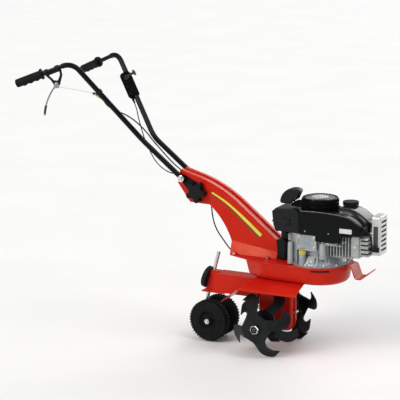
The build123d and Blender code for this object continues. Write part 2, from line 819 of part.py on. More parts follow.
valley_half = 15.0
valley = 6.0
with BuildPart() as column:
    add(column_form(0, deck_top))
    add(column_form(sheet, deck_top - 2), mode=Mode.SUBTRACT)
    with BuildSketch(side_plane(valley_half + sheet)):
        add(top_strip(valley + sheet))
    extrude(amount=2 * (valley_half + sheet))
    with BuildSketch(side_plane(valley_half)):
        add(top_strip(valley))
    extrude(amount=2 * valley_half, mode=Mode.SUBTRACT)
    with BuildSketch(Plane.XY.offset(deck_top)):
        tab_mid = (column_skirt_half + tab_half) / 2
        with Locations(*[(x, side * tab_mid) for x in tab_places for side in (-1, 1)]):
            Rectangle(24, tab_half - column_skirt_half + 4)
        with Locations(*[(x, side * (tab_half - 6)) for x in tab_places for side in (-1, 1)]):
            Circle(stud_r + run, mode=Mode.SUBTRACT)
    extrude(amount=sheet)
    with Locations(Location((pivot_x, 0, pivot_z), (90, 0, 0))):
        Cylinder(pivot_r + run, 4 * column_half, mode=Mode.SUBTRACT)
    with Locations(Location((clamp_x, 0, clamp_z), (90, 0, 0))):
        Cylinder(stud_r + run, 4 * column_half, mode=Mode.SUBTRACT)
    with Locations((-116, 0, 635)):
        Box(18, 2 * valley_half, 14, mode=Mode.SUBTRACT)
    with Locations((-2, 12, 530)):
        Cylinder(cable_r + 2, 20, mode=Mode.SUBTRACT)
    with Locations(Location((foot_front, 8, 385), (0, 90, 0))):
        Cylinder(cable_r + 2, 20, mode=Mode.SUBTRACT)
keep(column.part, "column")

# Handle tubes: each bent twice, stepped down for its grip, with a slotted bracket plate welded on
weld = 0.8
tube_y = tube_y - weld
kink_right = Vector(tube_kink.X, -tube_y, tube_kink.Z)
tube_run = (tube_corner - kink_right).normalized()
pivot_right = Vector(pivot_x, -tube_y, pivot_z)
tube_end = pivot_right + (pivot_right - kink_right).normalized() * 14
plate_y = column_half + gap
tilt_slot = CenterArc((pivot_x, pivot_z), tilt_arm, tilt_angle - tilt_down, tilt_up + tilt_down)
with BuildPart() as right_handle_tube:
    with BuildLine() as tube_path:
        FilletPolyline(
            tube_end,
            kink_right,
            tube_corner,
            tube_corner + grip_dir * thin_from,
            radius=[kink_bend_r, corner_bend_r],
        )
    with BuildSketch(Plane(tube_end, z_dir=tube_path.line % 0)):
        Circle(tube_r)
        Circle(tube_r - tube_wall, mode=Mode.SUBTRACT)
    sweep(path=tube_path.line)
    with Locations(Plane(tube_corner + grip_dir * (thin_from - 6), z_dir=grip_dir)):
        Cylinder(tube_r - tube_wall / 2, 5, align=on_base)
        Cylinder(thin_tube_r, grip_start + grip_len - 8 - thin_from, align=on_base)
        Cylinder(thin_tube_r - tube_wall, 2 * grip_len, align=on_base, mode=Mode.SUBTRACT)
    with BuildSketch(side_plane(-plate_y)):
        with Locations((pivot_x, pivot_z)):
            Circle(13)
            tilt_all = tilt_up + tilt_down
            with PolarLocations(tilt_arm, 2, tilt_angle - tilt_down, tilt_all, endpoint=True):
                Circle(14)
        make_hull()
        SlotArc(tilt_slot, 2 * (stud_r + gap), mode=Mode.SUBTRACT)
    extrude(amount=plate)
    with Locations(Location((pivot_x, -tube_y, pivot_z), (90, 0, 0))):
        Cylinder(pivot_r + run, 4 * tube_r, mode=Mode.SUBTRACT)
keep(right_handle_tube.part, "right_handle_tube")

with BuildPart() as left_handle_tube:
    mirror(right_handle_tube.part, about=Plane.XZ)
keep(left_handle_tube.part, "left_handle_tube")

# Grips: a flange, a round sleeve and three finger bumps beneath
with BuildPart(Plane(tube_corner + grip_dir * grip_start, x_dir=-grip_up, z_dir=grip_dir)) as right_grip:
    Cylinder(grip_flange_r, 5, align=on_base)
    Cylinder(grip_r, grip_len, align=on_base)
    with Locations(*[(5, 0, z) for z in (26, 52, 78)]):
        Sphere(14)
    fillet(right_grip.faces().sort_by(Axis(grip_tip, grip_dir))[-1].edges(), 5)
    Cylinder(thin_tube_r + run, grip_len - 5, align=on_base, mode=Mode.SUBTRACT)
keep(right_grip.part, "right_grip")

with BuildPart() as left_grip:
    mirror(right_grip.part, about=Plane.XZ)
keep(left_grip.part, "left_grip")

# Pivot bolt of the handlebar, with a washer and a hexagon at each end
with BuildPart() as handle_pivot_bolt:
    washer_y = tube_y + tube_r + run
    with Locations(Location((pivot_x, 0, pivot_z), (90, 0, 0))):
        Cylinder(pivot_r, 2 * (washer_y + 2.5 + 6))
    for side in (-1, 1):
        with BuildSketch(side_plane(side * washer_y)):
            with Locations((pivot_x, pivot_z)):
                Circle(10)
        extrude(amount=-side * 2.5)
        with BuildSketch(side_plane(side * washer_y)):
            with Locations((pivot_x, pivot_z)):
                Polygon(*hex_points(pivot_r + 3.5), align=None)
        extrude(amount=-side * 7.5)
keep(handle_pivot_bolt.part, "handle_pivot_bolt")

# Lobed clamp knob with its stud right across the column and a nut on the far side
with BuildPart() as handle_clamp_knob:
    knob_y = plate_y + plate + gap
    with BuildSketch(side_plane(-knob_y)):
        with Locations((clamp_x, clamp_z)):
            Circle(handle_knob_r - 14)
            with PolarLocations(handle_knob_r - 12, handle_knob_lobes, start_angle=-8):
                Circle(12)
    extrude(amount=handle_knob_t)
    fillet(handle_clamp_knob.faces().sort_by(Axis.Y)[0].edges(), 3)
    with BuildSketch(side_plane(-knob_y)):
        with Locations((clamp_x, clamp_z)):
            Circle(stud_r)
    extrude(amount=-2 * knob_y - 9)
    with BuildSketch(side_plane(knob_y)):
        with Locations((clamp_x, clamp_z)):
            Polygon(*hex_points(stud_r + 3.5), align=None)
    extrude(amount=-7)
keep(handle_clamp_knob.part, "handle_clamp_knob")

# Clutch lever: a bracket clamped on the right tube, a bent lever on its pin, and a soft tip
lever_station = tube_corner + grip_dir * (grip_start - 40)
bracket_plane = Plane(lever_station, x_dir=grip_dir, z_dir=grip_side)
pin_r = 3.0
bracket_z = -7.0
with BuildPart() as clutch_bracket:
    with BuildSketch(bracket_plane.offset(bracket_z)):
        with BuildLine():
            Polyline(
                (-38, -5),
                (-34, -30),
                (-10, -lever_drop - 9),
                (10, -lever_drop - 7),
                (16, -34),
                (32, -5),
                close=True,
            )
        make_face()
        with BuildLine():
            Polyline((-28, -14), (-25, -27), (-9, -44), (5, -38), (16, -14), close=True)
        make_face(mode=Mode.SUBTRACT)
    extrude(amount=3)
    with BuildSketch(bracket_plane.offset(bracket_z)):
        with Locations((0, -lever_drop)):
            Circle(pin_r)
    extrude(amount=15)
    for x in (-30, 16):
        with BuildSketch(Plane(lever_station + grip_dir * x, z_dir=grip_dir)):
            Circle(thin_tube_r + 3.5)
        extrude(amount=14)
    with BuildSketch(Plane(lever_station - grip_dir * 100, z_dir=grip_dir)):
        Circle(thin_tube_r + run)
    extrude(amount=200, mode=Mode.SUBTRACT)
keep(clutch_bracket.part, "clutch_bracket")

lever_plane = Plane(lever_at, x_dir=grip_dir, z_dir=grip_side)
hub_z0 = bracket_z + 3 + gap
with BuildPart() as clutch_lever:
    with BuildLine(lever_plane) as rod:
        ThreePointArc((3, -3), (58, -45), (lever_len * 0.7, -lever_len * 0.71))
    with BuildSketch(Plane(rod.line @ 0, z_dir=rod.line % 0)):
        Circle(lever_rod_r)
    sweep(path=rod.line)
    with BuildSketch(lever_plane.offset(hub_z0)):
        Circle(lever_hub_r)
        with Locations((0, -7)):
            SlotOverall(18, 6, rotation=90)
    extrude(amount=7.5)
    with Locations(lever_plane):
        Cylinder(pin_r + run, 60, mode=Mode.SUBTRACT)
        with Locations((0, -13, 0)):
            Cylinder(1.2, 60, mode=Mode.SUBTRACT)
keep(clutch_lever.part, "clutch_lever")

with BuildPart() as lever_tip:
    sleeve_at = rod.line @ 0.74
    with BuildLine(lever_plane):
        sleeve_path = add(rod.line.edges()[0].trim(0.74, 1.0))
    with BuildSketch(Plane(sleeve_at, z_dir=rod.line % 0.74)):
        Circle(lever_rod_r + 1.5)
        Circle(lever_rod_r + run, mode=Mode.SUBTRACT)
    sweep(path=sleeve_path)
keep(lever_tip.part, "lever_tip")

# Cable stop on the right tube, with the clutch wire from it to the lever
stop_at = kink_right + (tube_corner - kink_right) * 0.62
stop_off = (Vector(-1, 0, 0) - tube_run * Vector(-1, 0, 0).dot(tube_run)).normalized()
barrel_at = stop_at + stop_off * 21
horn_at = lever_at - grip_up * 13
barrel_dir = ((horn_at - barrel_at).normalized() + tube_run).normalized()
wire_from = barrel_at + barrel_dir * 14
wire_dir = (horn_at - wire_from).normalized()
with BuildPart() as cable_stop:
    with BuildSketch(Plane(stop_at - tube_run * 7, z_dir=tube_run)):
        Circle(tube_r + 3)
        Circle(tube_r + run, mode=Mode.SUBTRACT)
    extrude(amount=14)
    with BuildSketch(Plane(stop_at + stop_off * (tube_r + 1), x_dir=tube_run, z_dir=stop_off)):
        Rectangle(12, 7)
    extrude(amount=11)
    with Locations(Plane(barrel_at, z_dir=barrel_dir)):
        Cylinder(5, 26)
        Cylinder(cable_r + run, 60, mode=Mode.SUBTRACT)
keep(cable_stop.part, "cable_stop")

with BuildPart() as clutch_wire:
    wire_len = (horn_at - wire_from).length - 3 - gap
    with Locations(Plane(wire_from, z_dir=wire_dir)):
        Cylinder(wire_r, wire_len, align=on_base)

# Throttle housing on the left tube and its lever
kink_left = Vector(tube_kink.X, tube_y, tube_kink.Z)
corner_left = Vector(tube_corner.X, -tube_corner.Y, tube_corner.Z)
left_run = (corner_left - kink_left).normalized()
left_off = (Vector(-1, 0, 0) - left_run * Vector(-1, 0, 0).dot(left_run)).normalized()
throttle_at = kink_left + (corner_left - kink_left) * throttle_share
throttle_plane = Plane(throttle_at, x_dir=left_run, z_dir=left_off)
lever_face = -throttle_half - gap
with BuildPart(throttle_plane) as throttle_housing:
    with Locations((0, 0, 7)):
        Box(throttle_len, 2 * throttle_half, 42)
    fillet(throttle_housing.edges(), throttle_round)
    with Locations(Location((0, 0, 0), (0, 90, 0))):
        Cylinder(tube_r + run, 3 * throttle_len, mode=Mode.SUBTRACT)
    with Locations(Location((24, -throttle_half + 2, -2), (90, 0, 0))):
        Cylinder(pin_r, 9, align=on_base)
    with Locations(Location((-throttle_len / 2, 0, 18), (0, 90, 0))):
        Cylinder(throttle_cable_r + run, 20, mode=Mode.SUBTRACT)
keep(throttle_housing.part, "throttle_housing")

with BuildPart(throttle_plane) as throttle_lever:
    with Locations(Location((24, lever_face, -2), (90, 0, 0))):
        Cylinder(10, 5, align=on_base)
    with Locations((26, lever_face - 2.5, -20)):
        Box(8, 5, 30)
    with Locations((28, lever_face + 3, -36)):
        Box(18, 16, 6)
    with Locations(Location((24, 0, -2), (90, 0, 0))):
        Cylinder(pin_r + run, 90, mode=Mode.SUBTRACT)
keep(throttle_lever.part, "throttle_lever")

# Cables: the clutch cable runs through the column to the tub, the throttle cable to the carburettor
under_tube = kink_right + (tube_corner - kink_right) * 0.47 + stop_off * 17
clutch_points = [
    tuple(barrel_at + barrel_dir * 6),
    tuple(barrel_at - barrel_dir * 30),
    tuple(under_tube),
    (-368, -68, 866),
    (-344, -30, 846),
    (-318, 8, 812),
    (-294, 34, 774),
    (-262, 30, 741),
    (-226, 25, 711),
    (-180, 16, 674),
    (-128, 6, 641),
    (-80, 6, 626),
    (-36, 10, 604),
    (-8, 12, 566),
    (-2, 12, 518),
    (2, 12, 470),
    (16, 14, 424),
    (48, 16, 382),
    (80, 14, 346),
    (122, 8, 328),
    (tub_rear - 2, 6, 326),
]
clutch_cable = Compound(children=[cable(clutch_points, cable_r), clutch_wire.part])
keep(clutch_cable, "clutch_cable")

throttle_points = [
    tuple(throttle_at - left_run * (throttle_len / 2 - 6) + left_off * 18),
    tuple(throttle_at - left_run * (throttle_len / 2 + 40) + left_off * 18),
    (-350, 70, 822),
    (-317, 36, 785),
    (-283, 2, 748),
    (-250, -13, 705),
    (-230, -18, 678),
    (-203, -18, 652),
    (-172, -15, 634),
    (-142, -12, 629),
    (-112, -9, 635),
    (-66, -8, 622),
    (-16, -6, 604),
    (40, -2, 574),
    (92, 2, 536),
    (138, 6, 492),
    (184, 8, 450),
    (228, 8, 412),
    (268, 8, 388),
    (300, 8, 385),
]
keep(cable(throttle_points, throttle_cable_r), "throttle_cable")

# Engine: crankcase with its base flange, sump cone, block and oil filler
base_top = deck_top + base_t
block_x0 = 402.0
block_x1 = cylinder_from
drum_r = 107.0              # round rear side of the crankcase
panel_near = -95.0
panel_low = 412.0
panel_w = 74.0
intake_x = 340.0            # flat face for the carburettor
intake_y = -20.0
intake_z = 440.0
oil_x = 423.0
oil_y = -97.0
oil_top = 398.0
filler_r = 13.0
plug_r = 8.0
with BuildPart() as crankcase:
    with Locations((engine_x, 0, deck_top)):
        Cylinder(base_r, base_t, align=on_base)
    with Locations((engine_x, 0, base_top)):
        Cone(base_r - 9, sump_top_r, sump_h, align=on_base)
    with BuildSketch(Plane.XY.offset(base_top)):
        with Locations(((block_x0 + block_x1) / 2, 0)):
            RectangleRounded(block_x1 - block_x0, 2 * block_half, 10)
    extrude(amount=block_top - base_top)
    with BuildSketch(Plane.XY.offset(base_top)):
        with Locations((engine_x, 0)):
            Circle(drum_r)
        with Locations((block_x0, 0)):
            Rectangle(2 * base_r, 4 * base_r, align=(Align.MIN, Align.CENTER), mode=Mode.SUBTRACT)
    extrude(amount=block_top - base_top)
    with Locations((block_x0, panel_near, panel_low)):
        Box(panel_w, -panel_near, block_top - panel_low, align=(Align.MIN, Align.MIN, Align.MIN))
    with Locations((intake_x, intake_y, intake_z)):
        Box(40, 36, 26, align=(Align.MIN, Align.CENTER, Align.CENTER))
    with Locations((oil_x, oil_y, base_top)):
        Cylinder(filler_r, oil_top - base_top, align=on_base)
    with Locations((engine_x, 0, base_top + 6)):
        Cylinder(50, block_top - base_top - 12, align=on_base, mode=Mode.SUBTRACT)
    with Locations((engine_x, 0, base_top)):
        Cylinder(crank_r + run, 400, mode=Mode.SUBTRACT)
    with Locations((oil_x, oil_y, oil_top)):
        Cylinder(plug_r + gap, 40, mode=Mode.SUBTRACT)
keep(crankcase.part, "crankcase")

with BuildPart() as oil_cap:
    with Locations((oil_x, oil_y, oil_top + gap)):
        Cylinder(filler_r, 12, align=on_base)
        with PolarLocations(filler_r + 1.5, 12):
            Cylinder(2.5, 40, mode=Mode.SUBTRACT)
        Cylinder(plug_r, 15, align=(Align.CENTER, Align.CENTER, Align.MAX))
keep(oil_cap.part, "oil_cap")

# Crankshaft, flywheel and the finned cylinder with its head
flywheel_lift = 16.0        # between the block and the flywheel
flywheel_z = block_top + flywheel_lift
crank_top = 560.0
with BuildPart() as crankshaft:
    with Locations((engine_x, 0, pulley_low - 6)):
        Cylinder(crank_r, crank_top - pulley_low + 6, align=on_base)
keep(crankshaft.part, "crankshaft")

with BuildPart() as flywheel:
    with Locations((engine_x, 0, flywheel_z)):
        Cylinder(flywheel_r, flywheel_t, align=on_base)
        Cylinder(24, flywheel_t + 14, align=on_base)
    with Locations((engine_x, 0, flywheel_z + flywheel_t)):
        with PolarLocations(flywheel_r - 18, 16):
            Box(24, 3, 14, align=on_base)
        Cylinder(crank_r + run, 200, mode=Mode.SUBTRACT)
keep(flywheel.part, "flywheel")

fin_pitch = (cylinder_to - cylinder_from - fin_t) / (fin_count - 1)
with BuildPart() as cylinder:
    core_plane = Plane((cylinder_from, cylinder_y, cylinder_z), x_dir=(0, 1, 0), z_dir=(1, 0, 0))
    with BuildSketch(core_plane):
        Circle(33)
    extrude(amount=cylinder_to - cylinder_from)
    for k in range(fin_count):
        with BuildSketch(core_plane.offset(fin_pitch * k)):
            RectangleRounded(2 * fin_half_y, 2 * fin_half_z, 8)
        extrude(amount=fin_t)
    with BuildSketch(core_plane):
        Circle(26)
    extrude(amount=cylinder_to - cylinder_from - 8, mode=Mode.SUBTRACT)
keep(cylinder.part, "cylinder")

head_y = cylinder_y - 3
with BuildPart() as cylinder_head:
    head_plane = Plane((cylinder_to, head_y, cylinder_z + 6), x_dir=(0, 1, 0), z_dir=(1, 0, 0))
    with BuildSketch(head_plane):
        RectangleRounded(96, 84, 8)
    extrude(amount=26)
    with BuildSketch(head_plane):
        RectangleRounded(84, 70, 8)
    extrude(amount=head_to - cylinder_to)
    for k in range(4):
        with BuildSketch(head_plane.offset(32)):
            with Locations((0, -24 + 16 * k)):
                Rectangle(100, 7)
        extrude(amount=40, mode=Mode.SUBTRACT)
keep(cylinder_head.part, "cylinder_head")

# Spark plug with its boot, and the lead from it to the coil under the shroud
plug_y = -50.0
plug_z = 430.0
with BuildPart() as spark_plug:
    boot_plane = Plane((head_to, plug_y, plug_z), x_dir=(0, 1, 0), z_dir=(1, 0, 0))
    with BuildSketch(boot_plane):
        Circle(6)
    extrude(amount=18)
    with BuildSketch(boot_plane.offset(12)):
        Circle(9)
    extrude(amount=22)
    with BuildSketch(Plane((head_to + 25, plug_y, plug_z), z_dir=(0, -1, 0.3))):
        Circle(5.5)
    extrude(amount=18)
keep(spark_plug.part, "spark_plug")

shroud_near = -100.0
shroud_ridge = -71.0        # far side of the arched cover
shroud_far = -45.0
shroud_nose_z = 506.0
shroud_nose_r = 26.0
shroud_x0 = 412.0
shroud_x1 = 649.0
shroud_low = block_top
lead_dir = Vector(0, -1, 0.3).normalized()
boot_end = Vector(head_to + 25, plug_y, plug_z) + lead_dir * 18
lead_points = [
    tuple(boot_end),
    tuple(boot_end + lead_dir * 24),
    (688, -97, 470),
    (678, -92, 498),
    (658, -84, 508),
    (628, -80, 506),
]
keep(cable(lead_points, 3), "ignition_lead")


# Blower shroud: a round part over the flywheel and an arched cover along the cylinder's near side
def shroud_side(inset):
    """Side outline of the cover: an arched top that falls to the nose."""
    rear = shroud_x0 - 60
    front = shroud_x1 + 5
    floor = shroud_low - 40
    top = shroud_top - inset
    nose = shroud_nose_z - inset
    with BuildSketch(side_plane(0)) as outline:
        with BuildLine():
            Polyline((rear, top), (rear, floor), (front, floor), (front, nose))
            ThreePointArc((front, nose), (630, nose + 26), (579, top + 3))
            ThreePointArc((579, top + 3), (490, top + 9), (rear, top))
        make_face()
    return outline.sketch


def shroud_form(inset):
    """The shroud as a solid form, drawn in by inset and open below."""
    low = shroud_low - 1 if inset else shroud_low
    with BuildPart() as form:
        with BuildSketch(Plane.XY.offset(low)) as plan:
            Polygon(
                (shroud_x0 + inset, shroud_near + inset),
                (shroud_x1 - inset, shroud_near + inset),
                (shroud_x1 - inset, shroud_ridge - inset),
                (shroud_x0 + inset, shroud_ridge - inset),
                align=None,
            )
            corner = plan.vertices().sort_by(Axis.Y)[:2].sort_by(Axis.X)
            fillet(corner[1], shroud_nose_r - inset)
        extrude(amount=2 * (shroud_top - shroud_low))
        with BuildSketch(side_plane(200)):
            add(shroud_side(inset))
        extrude(amount=400, mode=Mode.INTERSECT)
        with BuildSketch(Plane.XY.offset(low)):
            Polygon(
                (engine_x, shroud_ridge - inset - 1),
                (shroud_x1 - inset, shroud_ridge - inset - 1),
                (shroud_x1 - inset, shroud_far - inset),
                (engine_x, shroud_far - inset),
                align=None,
            )
        extrude(amount=shroud_nose_z - low - inset)
        with BuildSketch(side_plane(shroud_ridge - inset - 1)):
            Polygon(
                (engine_x, shroud_nose_z - inset - 1),
                (shroud_x1 - inset, shroud_nose_z - inset - 1),
                (shroud_x1 - inset, shroud_nose_z - inset),
                (600, shroud_top - 16 - inset),
                (560, shroud_top - inset),
                (engine_x, shroud_top - inset),
                align=None,
            )
        extrude(amount=shroud_ridge - inset - 1 - (shroud_far - inset))
        with BuildSketch(Plane.XY.offset(low)):
            with Locations((engine_x, 0)):
                Circle(shroud_r - inset)
        extrude(amount=shroud_top - low - inset)
    return form.part


with BuildPart() as blower_shroud:
    add(shroud_form(0))
    with BuildSketch(side_plane(shroud_near + shroud_wall)):
        with Locations((524, 468)):
            Rectangle(100, 36)
    extrude(amount=shroud_wall)
    add(shroud_form(shroud_wall), mode=Mode.SUBTRACT)
    with Locations((engine_x, 0, shroud_top)):
        Cylinder(58, 20, mode=Mode.SUBTRACT)
    with BuildSketch(side_plane(60)):
        with Locations((shroud_x0 + 96, shroud_low)):
            Rectangle(300, 26, align=(Align.MIN, Align.CENTER))
    extrude(amount=60 - shroud_near - shroud_wall, mode=Mode.SUBTRACT)
    with BuildSketch(side_plane(0)):
        with Locations((578, shroud_low - 30)):
            Rectangle(200, 44, align=(Align.MIN, Align.MIN))
    extrude(amount=200, mode=Mode.SUBTRACT)
    with Locations(Location((shroud_x1, -82, 507), (0, 90, 0))):
        Cylinder(7, 20, mode=Mode.SUBTRACT)
keep(blower_shroud.part, "blower_shroud")

# Starter housing: a slotted cup over the shroud's opening, with the rope reel inside
rope_dir = Vector(-0.55, 0, 0.835).normalized()
rope_at = Vector(370, -45, 576)
handle_half = 17.0
with BuildPart() as starter_housing:
    with Locations((engine_x, 0, shroud_top)):
        Cylinder(starter_r, starter_top - shroud_top, align=on_base)
    fillet(starter_housing.edges().group_by(Axis.Z)[-1], 8)
    with Locations((engine_x, 0, shroud_top)):
        Cylinder(starter_r - 4, starter_top - shroud_top - 4, align=on_base, mode=Mode.SUBTRACT)
    with Locations((engine_x, 0, starter_top)):
        with PolarLocations(starter_r - 21, starter_slots):
            Box(24, 4.5, 20, mode=Mode.SUBTRACT)
        Cylinder(starter_r - 40, 3, align=on_base)
    with BuildSketch(side_plane(rope_at.Y + 12)):
        Polygon((360, 562), (420, 560), (420, 582), (378, 582), (362, 572), align=None)
    extrude(amount=24)
    with Locations((engine_x, 0, shroud_top)):
        Cylinder(reel_r + 4, starter_top - shroud_top - 4, align=on_base, mode=Mode.SUBTRACT)
    with Locations(Plane(rope_at, z_dir=rope_dir)):
        Cylinder(2.6, 80, mode=Mode.SUBTRACT)
    with Locations((engine_x, 0, starter_top - 2)):
        Cylinder(5, 20, align=(Align.CENTER, Align.CENTER, Align.MAX))
keep(starter_housing.part, "starter_housing")

with BuildPart() as starter_reel:
    with Locations((engine_x, 0, 567)):
        Cylinder(reel_r, 16, align=on_base)
    with BuildSketch(Plane.XY.offset(571)):
        with Locations((engine_x, 0)):
            Circle(reel_r + 1)
            Circle(reel_r - 9, mode=Mode.SUBTRACT)
    extrude(amount=8, mode=Mode.SUBTRACT)
    with Locations((engine_x, 0, 567)):
        Cylinder(5 + run, 60, mode=Mode.SUBTRACT)
keep(starter_reel.part, "starter_reel")

handle_plane = Plane(rope_at, x_dir=(-rope_dir.Z, 0, rope_dir.X), z_dir=(0, 1, 0))
with BuildPart() as starter_handle:
    with BuildSketch(handle_plane.offset(-handle_half)) as handle_side:
        with BuildLine():
            Polyline((46, 28), (44, 20), (30, 11), (17, 3), (-17, 3), (-30, 11), (-44, 20), (-46, 28))
            ThreePointArc((-46, 28), (0, 51), (46, 28))
        make_face()
        fillet(handle_side.vertices(), 5)
    extrude(amount=2 * handle_half)
    fillet(starter_handle.faces().filter_by(Axis.Y).edges(), 5)
    with Locations(Plane(rope_at + rope_dir, z_dir=rope_dir)):
        Cylinder(2.3, 20, align=(Align.CENTER, Align.CENTER, Align.MAX))
        Cylinder(2.3, 12, align=on_base)
keep(starter_handle.part, "starter_handle")

# Air cleaner box with the carburettor below it
with BuildPart() as air_cleaner:
    with BuildSketch(side_plane(20)):
        Polygon(
            (314, 471), (407, 471), (407, 540), (394, 556), (313, 556), (299, 543), (304, 494), align=None
        )
    extrude(amount=110)
    with BuildSketch(Plane.XY.offset(505)):
        with Locations((354.5, -35)):
            Rectangle(109, 114)
    extrude(amount=5)
    with Locations((engine_x, 0, 510)):
        Cylinder(shroud_r + 2, 300, mode=Mode.SUBTRACT)
keep(air_cleaner.part, "air_cleaner")

with BuildPart() as carburettor:
    with Locations((318, 0, 394)):
        Box(36, 100, 76)
    fillet(carburettor.edges().filter_by(Axis.Y).group_by(Axis.Z)[-1], 14)
    fillet(carburettor.faces().filter_by(Axis.Y).edges(), 4)
    with Locations((intake_x - 20, intake_y, 425)):
        Cylinder(15, 46, align=on_base)
    with Locations((intake_x, intake_y, intake_z)):
        Box(22, 30, 22, align=(Align.MAX, Align.CENTER, Align.CENTER))
    with Locations(Location((300, 8, 385), (0, 90, 0))):
        Cylinder(throttle_cable_r + run, 20, mode=Mode.SUBTRACT)
keep(carburettor.part, "carburettor")

# Fuel tank and its cap
tank_low = 480.0
tank_rear = 527.0
tank_front = 656.0
neck_x = 556.0
neck_y = 34.0
neck_z = 565.0
with BuildPart() as fuel_tank:
    with BuildSketch(side_plane(tank_far)) as tank_side:
        Polygon(
            (tank_rear, neck_z),
            (tank_rear, shroud_top + 2),
            (tank_front - 116, shroud_top + 2),
            (tank_front - 116, tank_low),
            (tank_front - 4, tank_low),
            (tank_front, 504),
            (tank_front - 22, 530),
            (tank_front - 74, neck_z),
            align=None,
        )
        fillet(tank_side.vertices().filter_by(lambda v: v.X > tank_front - 80 and v.Y > 500), 16)
    extrude(amount=tank_near + tank_far)
    rims = fuel_tank.faces().sort_by(Axis.Y)
    rim_edges = rims[0].edges() + rims[-1].edges()
    fillet(rim_edges.filter_by(lambda e: e.center().Z > 512 and e.center().X > tank_front - 115), 10)
    with Locations((neck_x, neck_y, neck_z - 30)):
        Cylinder(19, 60, mode=Mode.SUBTRACT)
keep(fuel_tank.part, "fuel_tank")

with BuildPart() as fuel_cap:
    with Locations((neck_x, neck_y, neck_z + gap)):
        Cylinder(cap_r, cap_h, align=on_base)
        with PolarLocations(cap_r + 2, 20):
            Cylinder(4, 60, mode=Mode.SUBTRACT)
        Cylinder(18.5, 14, align=(Align.CENTER, Align.CENTER, Align.MAX))
keep(fuel_cap.part, "fuel_cap")

# Muffler behind its slotted guard
box_mid_y = (guard_box_y0 + guard_box_y1) / 2
box_mid_z = (guard_box_z0 + guard_box_z1) / 2
with BuildPart() as muffler:
    with Locations((guard_box_x0, box_mid_y, box_mid_z)):
        Box(25, 60, 128, align=(Align.MIN, Align.CENTER, Align.CENTER))
    fillet(muffler.edges().filter_by(Axis.X), 7)
    with Locations(Location((head_to, 0, 440), (0, 90, 0))):
        Cylinder(13, 10, align=on_base)
keep(muffler.part, "muffler")

with BuildPart() as muffler_guard:
    with Locations((guard_box_x0, box_mid_y, box_mid_z)):
        Box(31, 72, 144, align=(Align.MIN, Align.CENTER, Align.CENTER))
    fillet(muffler_guard.edges().filter_by(Axis.X), 10)
    fillet(muffler_guard.faces().sort_by(Axis.X)[-1].edges(), 5)
    with Locations((guard_box_x0, box_mid_y, box_mid_z)):
        Box(29, 66, 138, align=(Align.MIN, Align.CENTER, Align.CENTER), mode=Mode.SUBTRACT)
    with Locations((guard_box_x0 + 14, guard_box_y0, box_mid_z - 10)):
        Box(18, 20, 92, mode=Mode.SUBTRACT)
    with Locations(*[(guard_box_x1, box_mid_y, guard_box_z0 + 20 + 17 * k) for k in range(muffler_slots)]):
        Box(20, 48, 8, mode=Mode.SUBTRACT)
    stud_x = guard_box_x0 + 25
    stud_places = (box_mid_y - 27, box_mid_y + 27)
    with Locations(*[Location((stud_x, y, box_mid_z), (0, 90, 0)) for y in stud_places]):
        Cylinder(3, 5, align=on_base)
keep(muffler_guard.part, "muffler_guard")

# Bolts of the frame: column tabs, engine base and gearcase seam
with BuildPart() as frame_bolts:
    for x in tab_places:
        for side in (-1, 1):
            with Locations((x, side * (tab_half - 6), deck_top + sheet)):
                Cylinder(7, 6, align=on_base)
                Cylinder(stud_r, 2 * sheet, align=(Align.CENTER, Align.CENTER, Align.MAX))
    for x, z in (
        (case_rear - 1, case_top - 60),
        (case_front + 1, case_top - 60),
        (case_rear - 1, tine_z + 30),
        (case_front + 1, tine_z + 30),
    ):
        with BuildSketch(side_plane(case_wall)):
            with Locations((x, z)):
                Circle(stud_r)
        extrude(amount=2 * case_wall)
        for side in (-1, 1):
            with BuildSketch(side_plane(side * case_wall)):
                with Locations((x, z)):
                    Polygon(*hex_points(6.5), align=None)
            extrude(amount=-side * 5)
keep(frame_bolts.part, "frame_bolts")
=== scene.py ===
"""Garden tiller: finishes, cables, small fittings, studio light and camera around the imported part."""
import math

import bmesh
import bpy
from mathutils import Matrix, Vector


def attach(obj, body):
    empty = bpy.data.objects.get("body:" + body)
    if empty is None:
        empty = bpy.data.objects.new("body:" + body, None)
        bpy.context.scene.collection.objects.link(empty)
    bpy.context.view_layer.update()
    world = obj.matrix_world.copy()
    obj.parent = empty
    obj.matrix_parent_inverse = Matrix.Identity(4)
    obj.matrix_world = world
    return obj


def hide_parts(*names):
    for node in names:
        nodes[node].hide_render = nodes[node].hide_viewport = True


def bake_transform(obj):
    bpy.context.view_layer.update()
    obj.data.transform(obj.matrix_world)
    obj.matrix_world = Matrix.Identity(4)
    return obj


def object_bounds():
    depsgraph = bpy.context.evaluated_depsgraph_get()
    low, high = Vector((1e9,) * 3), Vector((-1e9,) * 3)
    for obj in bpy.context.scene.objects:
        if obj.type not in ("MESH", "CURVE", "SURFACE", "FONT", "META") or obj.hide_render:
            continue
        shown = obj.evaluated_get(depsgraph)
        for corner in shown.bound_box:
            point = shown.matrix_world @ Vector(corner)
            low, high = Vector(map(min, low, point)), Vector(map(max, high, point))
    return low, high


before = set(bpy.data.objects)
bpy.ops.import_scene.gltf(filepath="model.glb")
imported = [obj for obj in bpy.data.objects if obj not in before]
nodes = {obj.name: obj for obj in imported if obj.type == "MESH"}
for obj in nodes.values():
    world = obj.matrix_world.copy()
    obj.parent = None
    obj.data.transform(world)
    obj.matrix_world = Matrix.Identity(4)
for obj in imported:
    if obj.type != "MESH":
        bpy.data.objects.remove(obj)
cad_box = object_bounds()

MM = 0.001
SHARP_ANGLE = math.radians(32)
CORNER_STEPS = 5     # segments in a rounded corner of a plate
SUNK = 0.0006        # how far a bolt or screw head starts below the face it stands on
BEVEL_SAMPLES = 4

